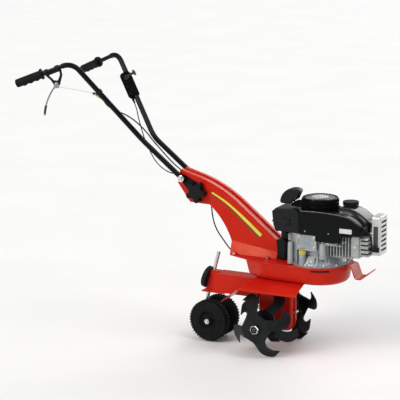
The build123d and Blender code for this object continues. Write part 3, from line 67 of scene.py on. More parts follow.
# Directions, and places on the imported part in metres
UP, AHEAD, NEAR = (0, 0, 1), (1, 0, 0), (0, -1, 0)
pivot = Vector((-0.098, 0, 0.622))
rope_dir = Vector((-0.55, 0, 0.835)).normalized()
rope_at = Vector((0.370, -0.045, 0.576))
engine_axis = Vector((0.450, 0, 0))
column_half = 0.030


# Node helpers for materials

class Finish:
    """One procedural material: the principled shader and the texture nodes that feed it."""

    def __init__(self, name, metallic=0.0, coat=0.0, coat_roughness=0.1, specular=0.5):
        self.material = bpy.data.materials.new(name)
        self.material.use_nodes = True
        self.tree = self.material.node_tree
        self.shader = self.tree.nodes["Principled BSDF"]
        self.shader.inputs["Metallic"].default_value = metallic
        self.shader.inputs["Coat Weight"].default_value = coat
        self.shader.inputs["Coat Roughness"].default_value = coat_roughness
        self.shader.inputs["Specular IOR Level"].default_value = specular
        self.place = self.tree.nodes.new("ShaderNodeTexCoord").outputs["Object"]
        self.normal = None

    def node(self, kind, **values):
        made = self.tree.nodes.new(kind)
        for key, value in values.items():
            setattr(made, key, value)
        return made

    def link(self, output, target):
        self.tree.links.new(output, target)

    def stretched(self, scale):
        """Texture space stretched by a factor along X, Y and Z."""
        mapping = self.node("ShaderNodeMapping")
        mapping.inputs["Scale"].default_value = scale
        self.link(self.place, mapping.inputs["Vector"])
        return mapping.outputs["Vector"]

    def noise(self, scale, detail, roughness=0.55, space=None):
        made = self.node("ShaderNodeTexNoise")
        made.inputs["Scale"].default_value = scale
        made.inputs["Detail"].default_value = detail
        made.inputs["Roughness"].default_value = roughness
        self.link(space or self.place, made.inputs["Vector"])
        return made.outputs["Fac"]

    def grain(self, scale):
        made = self.node("ShaderNodeTexVoronoi")
        made.inputs["Scale"].default_value = scale
        self.link(self.place, made.inputs["Vector"])
        return made.outputs["Distance"]

    def spread(self, value, low, high, out_low=0.0, out_high=1.0):
        made = self.node("ShaderNodeMapRange")
        made.inputs["From Min"].default_value = low
        made.inputs["From Max"].default_value = high
        made.inputs["To Min"].default_value = out_low
        made.inputs["To Max"].default_value = out_high
        self.link(value, made.inputs["Value"])
        return made.outputs["Result"]

    def edges(self, radius, low, high):
        """1 along worn outer edges and 0 on flat faces, from the rounded normal against the true one."""
        rounded = self.node("ShaderNodeBevel", samples=BEVEL_SAMPLES)
        rounded.inputs["Radius"].default_value = radius
        true_normal = self.node("ShaderNodeNewGeometry").outputs["Normal"]
        dot = self.node("ShaderNodeVectorMath", operation="DOT_PRODUCT")
        self.link(rounded.outputs["Normal"], dot.inputs[0])
        self.link(true_normal, dot.inputs[1])
        return self.spread(dot.outputs["Value"], high, low)

    def soften(self, radius):
        """Light the sharp edges as if they were rounded."""
        rounded = self.node("ShaderNodeBevel", samples=BEVEL_SAMPLES)
        rounded.inputs["Radius"].default_value = radius
        self.normal = rounded.outputs["Normal"]
        return self

    def times(self, first, second):
        made = self.node("ShaderNodeMath", operation="MULTIPLY")
        made.use_clamp = True
        self.link(first, made.inputs[0])
        self.link(second, made.inputs[1])
        return made.outputs["Value"]

    def mix(self, share, first, second):
        """A colour between two; each is a colour or the output of another mix."""
        made = self.node("ShaderNodeMix", data_type="RGBA")
        self.link(share, made.inputs["Factor"])
        colours = [socket for socket in made.inputs if socket.type == "RGBA"]
        for value, target in zip((first, second), colours):
            if isinstance(value, tuple):
                target.default_value = (*value, 1.0)
            else:
                self.link(value, target)
        return [socket for socket in made.outputs if socket.type == "RGBA"][0]

    def colour(self, output):
        self.link(output, self.shader.inputs["Base Color"])

    def rough(self, output):
        self.link(output, self.shader.inputs["Roughness"])

    def rough_drift(self, scale, detail, low, high):
        """Roughness that drifts between two values."""
        self.rough(self.spread(self.noise(scale, detail), 0.3, 0.7, low, high))

    def bump(self, height, distance, strength):
        """Relief laid over the softened edges."""
        made = self.node("ShaderNodeBump")
        made.inputs["Strength"].default_value = strength
        made.inputs["Distance"].default_value = distance
        self.link(height, made.inputs["Height"])
        if self.normal:
            self.link(self.normal, made.inputs["Normal"])
        self.normal = made.outputs["Normal"]
        self.link(self.normal, self.shader.inputs["Normal"])


# Materials, each in its own function

def red_enamel():
    """Gloss enamel over pressed steel: slight colour drift, orange peel and paler thin paint on edges."""
    f = Finish("red_enamel", coat=0.03, coat_roughness=0.06, specular=0.36).soften(0.0022)
    f.shader.inputs["Specular Tint"].default_value = (1.0, 0.44, 0.24, 1.0)
    drift = f.spread(f.noise(9, 3), 0.35, 0.65)
    body = f.mix(drift, (0.47, 0.0080, 0.0035), (0.53, 0.0120, 0.0050))
    edge = f.times(f.edges(0.0016, 0.80, 0.98), f.spread(f.noise(140, 4), 0.35, 0.7, 0.0, 0.8))
    dust = f.spread(f.noise(30, 6, 0.7), 0.58, 0.82, 0.0, 0.12)
    f.colour(f.mix(edge, f.mix(dust, body, (0.54, 0.032, 0.020)), (0.62, 0.050, 0.028)))
    f.rough_drift(22, 5, 0.26, 0.38)
    f.bump(f.noise(420, 2), 0.0001, 0.25)
    return f.material


def black_enamel():
    """Satin black tube paint with fine peel, faint dust and bare-looking rubbed spots."""
    f = Finish("black_enamel", coat=0.16, coat_roughness=0.05, specular=0.05).soften(0.0008)
    drift = f.spread(f.noise(18, 4), 0.35, 0.7)
    rub = f.times(f.spread(f.noise(60, 6, 0.7), 0.60, 0.78), f.spread(f.noise(7, 2), 0.45, 0.6))
    body = f.mix(drift, (0.0020, 0.0022, 0.0025), (0.0045, 0.0048, 0.0052))
    f.colour(f.mix(rub, body, (0.018, 0.019, 0.021)))
    f.rough_drift(35, 5, 0.30, 0.48)
    f.bump(f.noise(520, 2), 0.0001, 0.30)
    return f.material


def moulded_plastic(name, dark, light, rough_low, rough_high, specular=0.15):
    """Textured moulded plastic: spark-eroded grain and paler scuffed corners."""
    f = Finish(name, specular=specular).soften(0.0012)
    drift = f.spread(f.noise(24, 4), 0.35, 0.7)
    scuff = f.times(f.edges(0.0014, 0.78, 0.98), f.spread(f.noise(180, 5), 0.35, 0.7, 0.0, 0.7))
    pale = tuple(min(1.0, c * 1.6 + 0.008) for c in light)
    f.colour(f.mix(scuff, f.mix(drift, dark, light), pale))
    f.rough_drift(70, 4, rough_low, rough_high)
    f.bump(f.grain(900), 0.00012, 0.35)
    return f.material


def gloss_plastic(name, dark, light, coat, specular=0.12):
    """Polished black plastic with swirl marks and a breath of dust on it."""
    f = Finish(name, coat=coat, coat_roughness=0.05, specular=specular).soften(0.003)
    dust = f.spread(f.noise(55, 7, 0.75), 0.52, 0.8, 0.0, 0.35)
    f.colour(f.mix(dust, dark, light))
    f.rough(f.spread(f.noise(90, 6, 0.7), 0.3, 0.75, 0.18, 0.34))
    f.bump(f.noise(260, 2), 0.0001, 0.14)
    return f.material


def rubber(name, dark, light, bump_scale=700):
    """Matt rubber with dust held in a fine rough skin."""
    f = Finish(name, specular=0.12)
    dust = f.spread(f.noise(45, 7, 0.7), 0.45, 0.75)
    f.colour(f.mix(dust, dark, light))
    f.rough_drift(160, 4, 0.55, 0.80)
    f.bump(f.noise(bump_scale, 4), 0.00025, 0.5)
    return f.material


def cast_metal(name, dark, light, metallic, rough_low, rough_high):
    """Sand-cast or die-cast metal with a pebbled skin, dull patches and bright rubbed edges."""
    f = Finish(name, metallic=metallic).soften(0.0012)
    patch = f.spread(f.noise(28, 6, 0.65), 0.3, 0.7)
    edge = f.times(f.edges(0.0012, 0.80, 0.98), f.spread(f.noise(150, 4), 0.3, 0.6, 0.0, 0.8))
    bright = tuple(min(1.0, c * 1.45) for c in light)
    f.colour(f.mix(edge, f.mix(patch, dark, light), bright))
    f.rough_drift(60, 5, rough_low, rough_high)
    f.bump(f.noise(900, 4), 0.00022, 0.40)
    return f.material


def plated_steel(name, dark, light, rough_low, rough_high):
    """Bare or plated metal: fine cloudy patches and a few dull specks."""
    f = Finish(name, metallic=1.0)
    cloud = f.noise(120, 5, 0.6)
    speck = f.spread(f.noise(260, 5, 0.7), 0.62, 0.75, 0.0, 0.5)
    body = f.mix(f.spread(cloud, 0.3, 0.7), dark, light)
    f.colour(f.mix(speck, body, tuple(c * 0.55 for c in dark)))
    f.rough(f.spread(cloud, 0.25, 0.75, rough_low, rough_high))
    f.bump(f.noise(600, 3), 0.00006, 0.25)
    return f.material


def tine_steel():
    """Black-painted spring steel: bluish charcoal with scuffed, brighter cutting edges."""
    f = Finish("tine_steel", coat=0.04, coat_roughness=0.20, specular=0.14).soften(0.0008)
    patch = f.spread(f.noise(26, 6, 0.65), 0.32, 0.7)
    edge = f.times(f.edges(0.0022, 0.72, 0.97), f.spread(f.noise(110, 5), 0.32, 0.62))
    scratch = f.spread(f.noise(95, 5, 0.7, f.stretched((1, 6, 1))), 0.60, 0.72, 0.0, 0.45)
    body = f.mix(patch, (0.0045, 0.0058, 0.0070), (0.0115, 0.0135, 0.0150))
    f.colour(f.mix(edge, f.mix(scratch, body, (0.032, 0.036, 0.040)), (0.085, 0.09, 0.095)))
    f.rough_drift(50, 5, 0.30, 0.52)
    f.bump(f.noise(480, 4), 0.0002, 0.35)
    return f.material


def hot_steel(name, clean, tinted, stained, metallic):
    """Pressed guard and exhaust steel with straw and brown heat tints."""
    f = Finish(name, metallic=metallic).soften(0.0008)
    tint = f.spread(f.noise(22, 4), 0.45, 0.75, 0.0, 0.55)
    stain = f.spread(f.noise(70, 6, 0.7), 0.55, 0.8, 0.0, 0.6)
    f.colour(f.mix(stain, f.mix(tint, clean, tinted), stained))
    f.rough_drift(48, 5, 0.28, 0.50)
    f.bump(f.noise(380, 3), 0.0001, 0.30)
    return f.material


def plain_film(name, first, second, scale):
    """Plain plastic film: slightly uneven colour under a satin skin."""
    f = Finish(name, coat=0.3, coat_roughness=0.25)
    f.colour(f.mix(f.spread(f.noise(scale, 5), 0.3, 0.7), first, second))
    f.rough_drift(scale * 2, 3, 0.32, 0.48)
    f.bump(f.noise(700, 2), 0.00004, 0.2)
    return f.material


paint_red = red_enamel()
paint_black = black_enamel()
plastic_black = moulded_plastic("black_plastic", (0.0030, 0.0035, 0.004), (0.0070, 0.0075, 0.008),
                                0.34, 0.50)
plastic_matt = moulded_plastic("matt_black_plastic", (0.0030, 0.0035, 0.004), (0.0075, 0.0080, 0.0085),
                               0.40, 0.55, specular=0.0)
plastic_yellow = moulded_plastic("yellow_plastic", (0.50, 0.41, 0.020), (0.60, 0.50, 0.035),
                                 0.32, 0.45, specular=0.35)
plastic_pale = moulded_plastic("pale_yellow_plastic", (0.62, 0.52, 0.20), (0.72, 0.63, 0.30),
                               0.32, 0.45, specular=0.35)
plastic_gloss = gloss_plastic("gloss_black_plastic", (0.0020, 0.0026, 0.0030), (0.0055, 0.0063, 0.0070),
                              0.10, 0.06)
plastic_box = gloss_plastic("cleaner_plastic", (0.0070, 0.0085, 0.0095), (0.0140, 0.0155, 0.0170), 0.10)
plastic_tank = gloss_plastic("tank_plastic", (0.008, 0.0088, 0.0086), (0.016, 0.0172, 0.0168), 0.26, 0.26)
# Paler and glossier than the shroud's black: a painted highlight line for the bead on the shroud's top edge
plastic_highlight_edge = gloss_plastic("highlight_line_plastic", (0.012, 0.013, 0.014), (0.026, 0.028, 0.030), 0.45, 0.40)
rubber_black = rubber("grip_rubber", (0.0055, 0.006, 0.0062), (0.0135, 0.014, 0.0145))
rubber_wheel = rubber("wheel_rubber", (0.0040, 0.0048, 0.0055), (0.0095, 0.0105, 0.0115), 420)
alloy_cast = cast_metal("cast_alloy", (0.28, 0.30, 0.295), (0.43, 0.455, 0.445), 0.40, 0.32, 0.50)
alloy_base = cast_metal("base_alloy", (0.23, 0.26, 0.285), (0.38, 0.415, 0.435), 0.40, 0.32, 0.50)
steel_zinc = plated_steel("zinc_steel", (0.50, 0.51, 0.52), (0.74, 0.75, 0.75), 0.24, 0.42)
steel_chrome = plated_steel("chrome_steel", (0.70, 0.71, 0.72), (0.86, 0.87, 0.88), 0.08, 0.18)
steel_dark = plated_steel("lever_steel", (0.20, 0.21, 0.21), (0.42, 0.43, 0.43), 0.12, 0.26)
steel_tine = tine_steel()
steel_hot = hot_steel("heat_tinted_steel", (0.60, 0.61, 0.60), (0.54, 0.51, 0.46), (0.36, 0.35, 0.33), 0.45)
steel_soot = hot_steel("sooty_steel", (0.075, 0.072, 0.070), (0.060, 0.050, 0.042), (0.030, 0.028, 0.026),
                       0.4)
bronze_gear = plated_steel("gear_bronze", (0.42, 0.24, 0.09), (0.58, 0.36, 0.15), 0.28, 0.45)
alloy_screen = cast_metal("screen_alloy", (0.34, 0.345, 0.34), (0.70, 0.71, 0.70), 0.30, 0.40, 0.60)
rubber_tip = rubber("tip_rubber", (0.020, 0.034, 0.030), (0.042, 0.058, 0.052))
rope_cotton = rubber("starter_rope", (0.012, 0.012, 0.012), (0.06, 0.058, 0.054), 900)
film_white = plain_film("bare_white_film", (0.54, 0.55, 0.55), (0.63, 0.64, 0.64), 60)
film_lime = plain_film("lime_film", (0.50, 0.58, 0.03), (0.60, 0.68, 0.06), 40)
film_dark = plain_film("dark_green_film", (0.010, 0.035, 0.016), (0.016, 0.05, 0.022), 40)


# Finish of each solid that stays as it is

finish_of = {
    "column": paint_red, "deck_plate": paint_red, "belt_tub": paint_red, "tine_guard": paint_red,
    "rear_arm": paint_red, "front_bumper": paint_red,
    "frame_bolts": steel_zinc, "gearcase_right": paint_red, "gearcase_left": paint_red,
    "v_belt": rubber_black, "shaft_bearings": steel_zinc,
    "crankcase": alloy_base, "cylinder": alloy_cast, "cylinder_head": alloy_cast,
    "blower_shroud": plastic_gloss, "starter_housing": plastic_matt, "air_cleaner": plastic_box,
    "carburettor": plastic_black, "muffler": steel_soot,
    "muffler_guard": steel_hot, "spark_plug": rubber_black,
    "right_handle_tube": paint_black, "left_handle_tube": paint_black,
    "right_grip": rubber_black, "left_grip": rubber_black, "handle_pivot_bolt": steel_zinc,
    "clutch_bracket": plastic_black, "cable_stop": plastic_black, "throttle_housing": plastic_matt,
    "clutch_lever": steel_dark, "lever_tip": rubber_tip, "throttle_lever": plastic_black,
    "handle_clamp_knob": plastic_black, "tine_shaft": steel_zinc, "worm_wheel": bronze_gear,
    "right_outer_star": steel_tine, "right_inner_star": steel_tine,
    "left_inner_star": steel_tine, "left_outer_star": steel_tine, "tine_hubs": steel_tine,
    "worm_shaft": steel_zinc, "driven_pulley": alloy_cast, "crankshaft": steel_zinc,
    "flywheel": alloy_cast, "drive_pulley": alloy_cast, "tensioner_arm": steel_zinc,
    "tensioner_pulley": plastic_black, "wheel_strut": steel_zinc, "axle_nuts": steel_zinc,
    "strut_clamp_knob": plastic_black,
    "starter_handle": plastic_box, "starter_reel": plastic_black, "fuel_cap": plastic_black,
    "oil_cap": plastic_yellow,
}
for node_name, material in finish_of.items():
    solid = nodes[node_name]
    solid.data.materials.clear()
    solid.data.materials.append(material)


# Mesh helpers

def piece(name, mesh_maker, material, body=None):
    """A new object from a filled bmesh, smooth-shaded with sharp creases kept, riding on a body."""
    bm = bmesh.new()
    mesh_maker(bm)
    bmesh.ops.recalc_face_normals(bm, faces=bm.faces)
    mesh = bpy.data.meshes.new(name)
    bm.to_mesh(mesh)
    bm.free()
    for face in mesh.polygons:
        face.use_smooth = True
    mesh.set_sharp_from_angle(angle=SHARP_ANGLE)
    mesh.materials.append(material)
    made = bpy.data.objects.new(name, mesh)
    bpy.context.scene.collection.objects.link(made)
    if body:
        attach(made, body)
    return made


def facing(direction, at=(0, 0, 0), spin=0.0):
    """A matrix that stands local Z along a direction at a point, turned about it."""
    turn = Vector(UP).rotation_difference(Vector(direction).normalized()).to_matrix().to_4x4()
    return Matrix.Translation(Vector(at)) @ turn @ Matrix.Rotation(spin, 4, "Z")


def skin(bm, rows):
    """Quads between neighbouring rows of vertices, each row closed on itself."""
    for low, high in zip(rows, rows[1:]):
        for i in range(len(low)):
            j = (i + 1) % len(low)
            bm.faces.new((low[i], low[j], high[j], high[i]))


def cap(bm, rows):
    """A flat face on the first row and on the last."""
    bm.faces.new(rows[0])
    bm.faces.new(list(reversed(rows[-1])))


def circle(bm, radius, height, place, sides):
    """Vertices round local Z."""
    turns = [2 * math.pi * i / sides for i in range(sides)]
    return [bm.verts.new(place @ Vector((radius * math.cos(a), radius * math.sin(a), height)))
            for a in turns]


def lathe(bm, profile, place, sides):
    """A closed turned form: profile holds (radius, height) pairs from one centre to the other."""
    rows = []
    for radius, height in profile:
        if radius > 0:
            rows.append(circle(bm, radius, height, place, sides))
        else:
            rows.append([bm.verts.new(place @ Vector((0, 0, height)))])
    for low, high in zip(rows, rows[1:]):
        for i in range(sides):
            j = (i + 1) % sides
            if len(low) == 1:
                bm.faces.new((low[0], high[j], high[i]))
            elif len(high) == 1:
                bm.faces.new((low[i], low[j], high[0]))
            else:
                bm.faces.new((low[i], low[j], high[j], high[i]))


def prism(bm, outline, place, low, high):
    """A closed prism: outline holds local (x, y) points, extruded from low to high along local Z."""
    bottom = [bm.verts.new(place @ Vector((x, y, low))) for x, y in outline]
    top = [bm.verts.new(place @ Vector((x, y, high))) for x, y in outline]
    bm.faces.new(list(reversed(bottom)))
    bm.faces.new(top)
    skin(bm, [bottom, top])


def ring(bm, profile, place, sides):
    """A closed turned ring: profile holds (radius, height) pairs round its section."""
    rows = [circle(bm, radius, height, place, sides) for radius, height in profile]
    skin(bm, rows + rows[:1])


def block(bm, low, high, chamfer):
    """A box along the frame's axes with chamfered edges."""
    made = bmesh.ops.create_cube(bm, size=1.0)
    middle = (Vector(low) + Vector(high)) / 2
    size = Vector(high) - Vector(low)
    for vertex in made["verts"]:
        vertex.co = Vector(a * b for a, b in zip(vertex.co, size)) + middle
    rims = list(dict.fromkeys(edge for vertex in made["verts"] for edge in vertex.link_edges))
    bmesh.ops.bevel(bm, geom=rims, offset=chamfer, segments=2, affect="EDGES", profile=0.6)


def arc_band(bm, centre, radii, angles, heights, steps):
    """A closed curved bar: part of a ring between two radii, two angles in degrees and two heights."""
    rows = []
    for i in range(steps + 1):
        turn = math.radians(angles[0] + (angles[1] - angles[0]) * i / steps)
        across = Vector((math.cos(turn), math.sin(turn), 0))
        rows.append([bm.verts.new(Vector(centre) + across * r + Vector((0, 0, z)))
                     for r, z in ((radii[0], heights[0]), (radii[1], heights[0]),
                                  (radii[1], heights[1]), (radii[0], heights[1]))])
    skin(bm, rows)
    cap(bm, rows)


def ribbon(bm, line, widths, place, low, high):
    """A thin closed strip along a flat line of (x, y) points, its width going from one to another."""
    rows = []
    for i, point in enumerate(line):
        ahead = (line[min(i + 1, len(line) - 1)] - line[max(i - 1, 0)]).normalized()
        share = i / (len(line) - 1)
        reach = (widths[0] + (widths[1] - widths[0]) * share) / 2
        side = Vector((-ahead.y, ahead.x, 0)) * reach
        rows.append([bm.verts.new(place @ Vector((*(point + step).xy, z)))
                     for step, z in ((-side, low), (side, low), (side, high), (-side, high))])
    skin(bm, rows)
    cap(bm, rows)


def side_place(side, y):
    """Stands local x along X, local y along Z and local z outwards on a side of the machine."""
    return Matrix(((1, 0, 0, 0), (0, 0, side, side * y), (0, 1, 0, 0), (0, 0, 0, 1)))


def rounded_box(width, height, radius):
    """Outline of a rectangle with round corners, centred on zero."""
    points = []
    for quarter, (sx, sy) in enumerate(((1, 1), (-1, 1), (-1, -1), (1, -1))):
        for i in range(CORNER_STEPS + 1):
            turn = math.pi / 2 * (quarter + i / CORNER_STEPS)
            points.append((sx * (width / 2 - radius) + radius * math.cos(turn),
                           sy * (height / 2 - radius) + radius * math.sin(turn)))
    return points


def hex_bolt(bm, at, direction, across, height, flange, spin=0.3):
    """A hexagon head with a chamfered top on a round flange, standing on a face."""
    place = facing(direction, at, spin)
    lathe(bm, [(0, -SUNK), (flange, -SUNK), (flange, height * 0.16), (flange * 0.9, height * 0.26),
               (0, height * 0.26)], place, 28)
    reach = across / math.sqrt(3)
    lathe(bm, [(0, height * 0.2), (reach, height * 0.2), (reach, height * 0.86), (reach * 0.82, height),
               (reach * 0.45, height), (reach * 0.40, height * 0.93), (0, height * 0.93)], place, 6)


def pan_screw(bm, at, direction, radius, height):
    """A round screw head with a small recess."""
    place = facing(direction, at)
    lathe(bm, [(0, -SUNK), (radius, -SUNK), (radius, height * 0.45), (radius * 0.86, height * 0.82),
               (radius * 0.55, height), (radius * 0.30, height), (radius * 0.22, height * 0.55),
               (0, height * 0.5)], place, 24)


def smooth_line(points, steps=10):
    """Points along a NURBS spline that has the route's points as its control points."""
    curve = bpy.data.curves.new("route", "CURVE")
    curve.dimensions = "3D"
    spline = curve.splines.new("NURBS")
    spline.points.add(len(points) - 1)
    for control, point in zip(spline.points, points):
        control.co = (*point, 1.0)
    spline.order_u = 3
    spline.use_endpoint_u = True
    spline.resolution_u = steps
    holder = bpy.data.objects.new("route", curve)
    line = bpy.data.meshes.new_from_object(holder)
    followed = [v.co.copy() for v in line.vertices]
    bpy.data.meshes.remove(line)
    bpy.data.objects.remove(holder)
    bpy.data.curves.remove(curve)
    return followed


def tube(bm, line, radius, sides):
    """A closed round tube along a line, its rings carried without twist."""
    ahead = (line[1] - line[0]).normalized()
    side = ahead.orthogonal().normalized()
    rings = []
    for i, point in enumerate(line):
        after = line[min(i + 1, len(line) - 1)]
        before = line[max(i - 1, 0)]
        ahead = (after - before).normalized()
        side = (side - ahead * side.dot(ahead)).normalized()
        other = ahead.cross(side)
        rings.append([bm.verts.new(point + radius * (math.cos(a) * side + math.sin(a) * other))
                      for a in (2 * math.pi * k / sides for k in range(sides))])
    skin(bm, rings)
    bm.faces.new(list(reversed(rings[0])))
    bm.faces.new(rings[-1])


# Cables and the lead

clutch_route = [
    (-0.42983, -0.11781, 0.93276), (-0.40279, -0.10290, 0.91426), (-0.38778, -0.09815, 0.88695),
    (-0.368, -0.068, 0.866), (-0.344, -0.030, 0.846), (-0.318, 0.008, 0.812), (-0.294, 0.034, 0.774),
    (-0.262, 0.030, 0.741), (-0.226, 0.025, 0.711), (-0.180, 0.016, 0.674),
    (-0.128, 0.006, 0.641), (-0.080, 0.006, 0.626), (-0.036, 0.010, 0.604), (-0.008, 0.012, 0.566),
    (-0.002, 0.012, 0.518), (0.002, 0.012, 0.470), (0.016, 0.014, 0.424), (0.048, 0.016, 0.382),
    (0.080, 0.014, 0.346), (0.122, 0.008, 0.328), (0.170, 0.006, 0.326)]
throttle_route = [
    (-0.39284, 0.10021, 0.89198), (-0.36628, 0.08598, 0.85722), (-0.350, 0.070, 0.822),
    (-0.317, 0.036, 0.785), (-0.283, 0.002, 0.748), (-0.250, -0.013, 0.705), (-0.230, -0.018, 0.678),
    (-0.203, -0.018, 0.652), (-0.172, -0.015, 0.634), (-0.142, -0.012, 0.629),
    (-0.112, -0.009, 0.635), (-0.066, -0.008, 0.622), (-0.016, -0.006, 0.604), (0.040, -0.002, 0.574),
    (0.092, 0.002, 0.536), (0.138, 0.006, 0.492), (0.184, 0.008, 0.450), (0.228, 0.008, 0.412),
    (0.268, 0.008, 0.388), (0.300, 0.008, 0.385)]
lead_route = [
    (0.689, -0.06724, 0.43517), (0.689, -0.09023, 0.44207), (0.688, -0.097, 0.470),
    (0.678, -0.092, 0.498), (0.658, -0.084, 0.508), (0.628, -0.080, 0.506)]
barrel_end = Vector((-0.4358, -0.1211, 0.9369))
lever_horn = Vector((-0.5480, -0.1840, 0.9617))
CLUTCH_SHEATH, THROTTLE_SHEATH = 0.0025, 0.0020     # radii
WIRE_RADIUS, LEAD_RADIUS = 0.0008, 0.003


def sheathed(name, route, radius):
    """A bowden sheath that turns from the handlebar to the frame where it passes the hinge."""
    line = smooth_line(route)

    def make(bm):
        tube(bm, line, radius, 14)

    cable = piece(name, make, rubber_black)
    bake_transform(cable)
    return cable


clutch_sheath = sheathed("clutch_sheath", clutch_route, CLUTCH_SHEATH)
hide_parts("clutch_cable")
throttle_sheath = sheathed("throttle_sheath", throttle_route, THROTTLE_SHEATH)
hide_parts("throttle_cable")


def make_wire(bm):
    """Only a ring at each end, so that the wire stays straight while the lever swings."""
    tube(bm, [barrel_end, lever_horn], WIRE_RADIUS, 8)


clutch_wire = piece("clutch_wire", make_wire, steel_zinc)
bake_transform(clutch_wire)
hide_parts("clutch_cable")


def make_lead(bm):
    tube(bm, smooth_line(lead_route, 12), LEAD_RADIUS, 14)


plug_lead = piece("plug_lead", make_lead, rubber_black, "chassis")
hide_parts("ignition_lead")


# Transport wheels: knobbed tyres with a dished disc

WHEEL_X, WHEEL_Y, WHEEL_Z = 0.014, 0.042, 0.080
LUGS = 42
tyre_side = [   # radius between lugs, radius on a lug and height from the wheel's middle, hub to tread, in mm
    (6.2, 6.2, 17.6), (13.6, 13.6, 17.6), (15.0, 15.0, 16.6), (15.2, 15.2, 8.0), (17.0, 17.0, 6.4),
    (22.0, 22.0, 6.4), (22.8, 22.8, 7.2), (24.6, 24.6, 7.2), (25.4, 25.4, 6.4), (31.0, 31.0, 6.4),
    (33.0, 33.0, 8.0), (37.0, 37.0, 16.8), (38.6, 38.6, 17.9), (41.0, 41.0, 17.9), (41.8, 41.8, 17.2),
    (43.4, 43.4, 17.2), (44.4, 44.4, 17.9), (62.0, 62.0, 17.9), (64.0, 64.0, 16.9), (66.0, 66.0, 16.9),
    (68.0, 68.0, 17.8), (71.5, 71.5, 17.8), (73.8, 75.8, 16.8), (75.2, 79.0, 14.6), (75.6, 79.9, 12.0),
    (75.6, 79.9, 6.0), (76.0, 77.4, 4.6), (78.6, 75.6, 3.4), (79.4, 75.4, 0.0)]
LUG_STEPS = ((0.0, 0.0), (0.10, 1.0), (0.50, 1.0), (0.60, 0.0))     # share of the pitch, and how far raised


def make_tyre(bm, middle):
    """One wheel: the half section mirrored across the middle and carried round with its lugs."""
    section = tyre_side + [(low, top, -y) for low, top, y in reversed(tyre_side[:-1])]
    columns = []
    for lug in range(LUGS):
        for share, raised in LUG_STEPS:
            turn = 2 * math.pi * (lug + share) / LUGS
            outline = [(low + (top - low) * raised, y) for low, top, y in section]
            columns.append([bm.verts.new(middle + MM * Vector((r * math.cos(turn), y, r * math.sin(turn))))
                            for r, y in outline])
    skin(bm, columns + columns[:1])


for body, middle_y in (("right_wheel", -WHEEL_Y), ("left_wheel", WHEEL_Y)):
    tyre = piece(body + "_tyre", lambda bm, y=middle_y: make_tyre(bm, Vector((WHEEL_X, y, WHEEL_Z))),
                 rubber_wheel, body)
    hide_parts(body)


# Starter: pressed screen, moulded rim and the pull rope

starter_at = Vector((0.450, 0, 0.591))
STARTER_RIBS = 30
STARTER_SIDES = 72
RIM_STEPS = (-0.0150, -0.0265)      # heights of the steps round the housing's side
ROPE_REACH, ROPE_RADIUS, ROPE_STEPS = 0.012, 0.00246, 16


def make_starter_screen(bm):
    """Pressed screen: a low dished centre with a raised ring, and flush ribs between the slots."""
    lathe(bm, [(0, 0.0020), (0.0300, -0.0006), (0.0312, 0.0010), (0.0306, 0.0026), (0.0292, 0.0034),
               (0.0225, 0.0040), (0.0215, 0.0034), (0.0195, 0.0034), (0.0185, 0.0042), (0.0075, 0.0045),
               (0.0065, 0.0038), (0, 0.0038)], Matrix.Translation(starter_at), STARTER_SIDES)
    for k in range(STARTER_RIBS):
        turn = 2 * math.pi * (k + 0.5) / STARTER_RIBS
        place = Matrix.Translation(starter_at) @ Matrix.Rotation(turn, 4, "Z")
        prism(bm, [(0.0300, -0.0009), (0.0550, -0.0013), (0.0570, 0), (0.0550, 0.0013), (0.0300, 0.0009)],
              place, -0.0010, 0.0004)


def make_starter_rim(bm):
    """Moulded steps round the slots and round the housing's side."""
    place = Matrix.Translation(starter_at)
    ring(bm, [(0.0590, -0.002), (0.0655, -0.002), (0.0645, 0.0010), (0.0605, 0.0022)], place, STARTER_SIDES)
    for low in RIM_STEPS:
        ring(bm, [(0.0670, low), (0.0694, low + 0.0005), (0.0697, low + 0.0016), (0.0694, low + 0.0027),
                  (0.0670, low + 0.0032)], place, STARTER_SIDES)


piece("starter_screen", make_starter_screen, alloy_screen, "chassis")
piece("starter_rim", make_starter_rim, plastic_gloss, "chassis")


def make_rope(bm):
    line = [rope_at + rope_dir * (-ROPE_REACH + 2 * ROPE_REACH * i / ROPE_STEPS)
            for i in range(ROPE_STEPS + 1)]
    tube(bm, line, ROPE_RADIUS, 12)


rope = piece("starter_rope", make_rope, rope_cotton)
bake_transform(rope)


# Fuel tank: a moulded shell with a crowned top and round shoulders

TANK_REAR, TANK_FRONT = 0.527, 0.656
TANK_NEAR, TANK_FAR = -0.042, 0.064
TANK_TOP, TANK_LOW = 0.565, 0.480
LIP_LOW, LIP_FRONT = 0.552, 0.540
TANK_MIDDLE = 0.565
SHOULDER, SHOULDER_STEPS = 0.024, 9
INSET_SHARE = 0.45      # largest share of the way to the middle by which the shoulder pulls a point in
FOOT_BAND = 0.001       # height above the foot that stays straight
tank_crown = [   # the shell's top and front from the rear lip to its foot: control points in X and Z
    (TANK_REAR, LIP_LOW), (TANK_REAR, TANK_TOP), (0.560, TANK_TOP), (0.592, 0.562), (0.622, 0.546),
    (0.646, 0.526), (TANK_FRONT, 0.508), (TANK_FRONT - 0.003, 0.494), (TANK_FRONT - 0.004, TANK_LOW)]


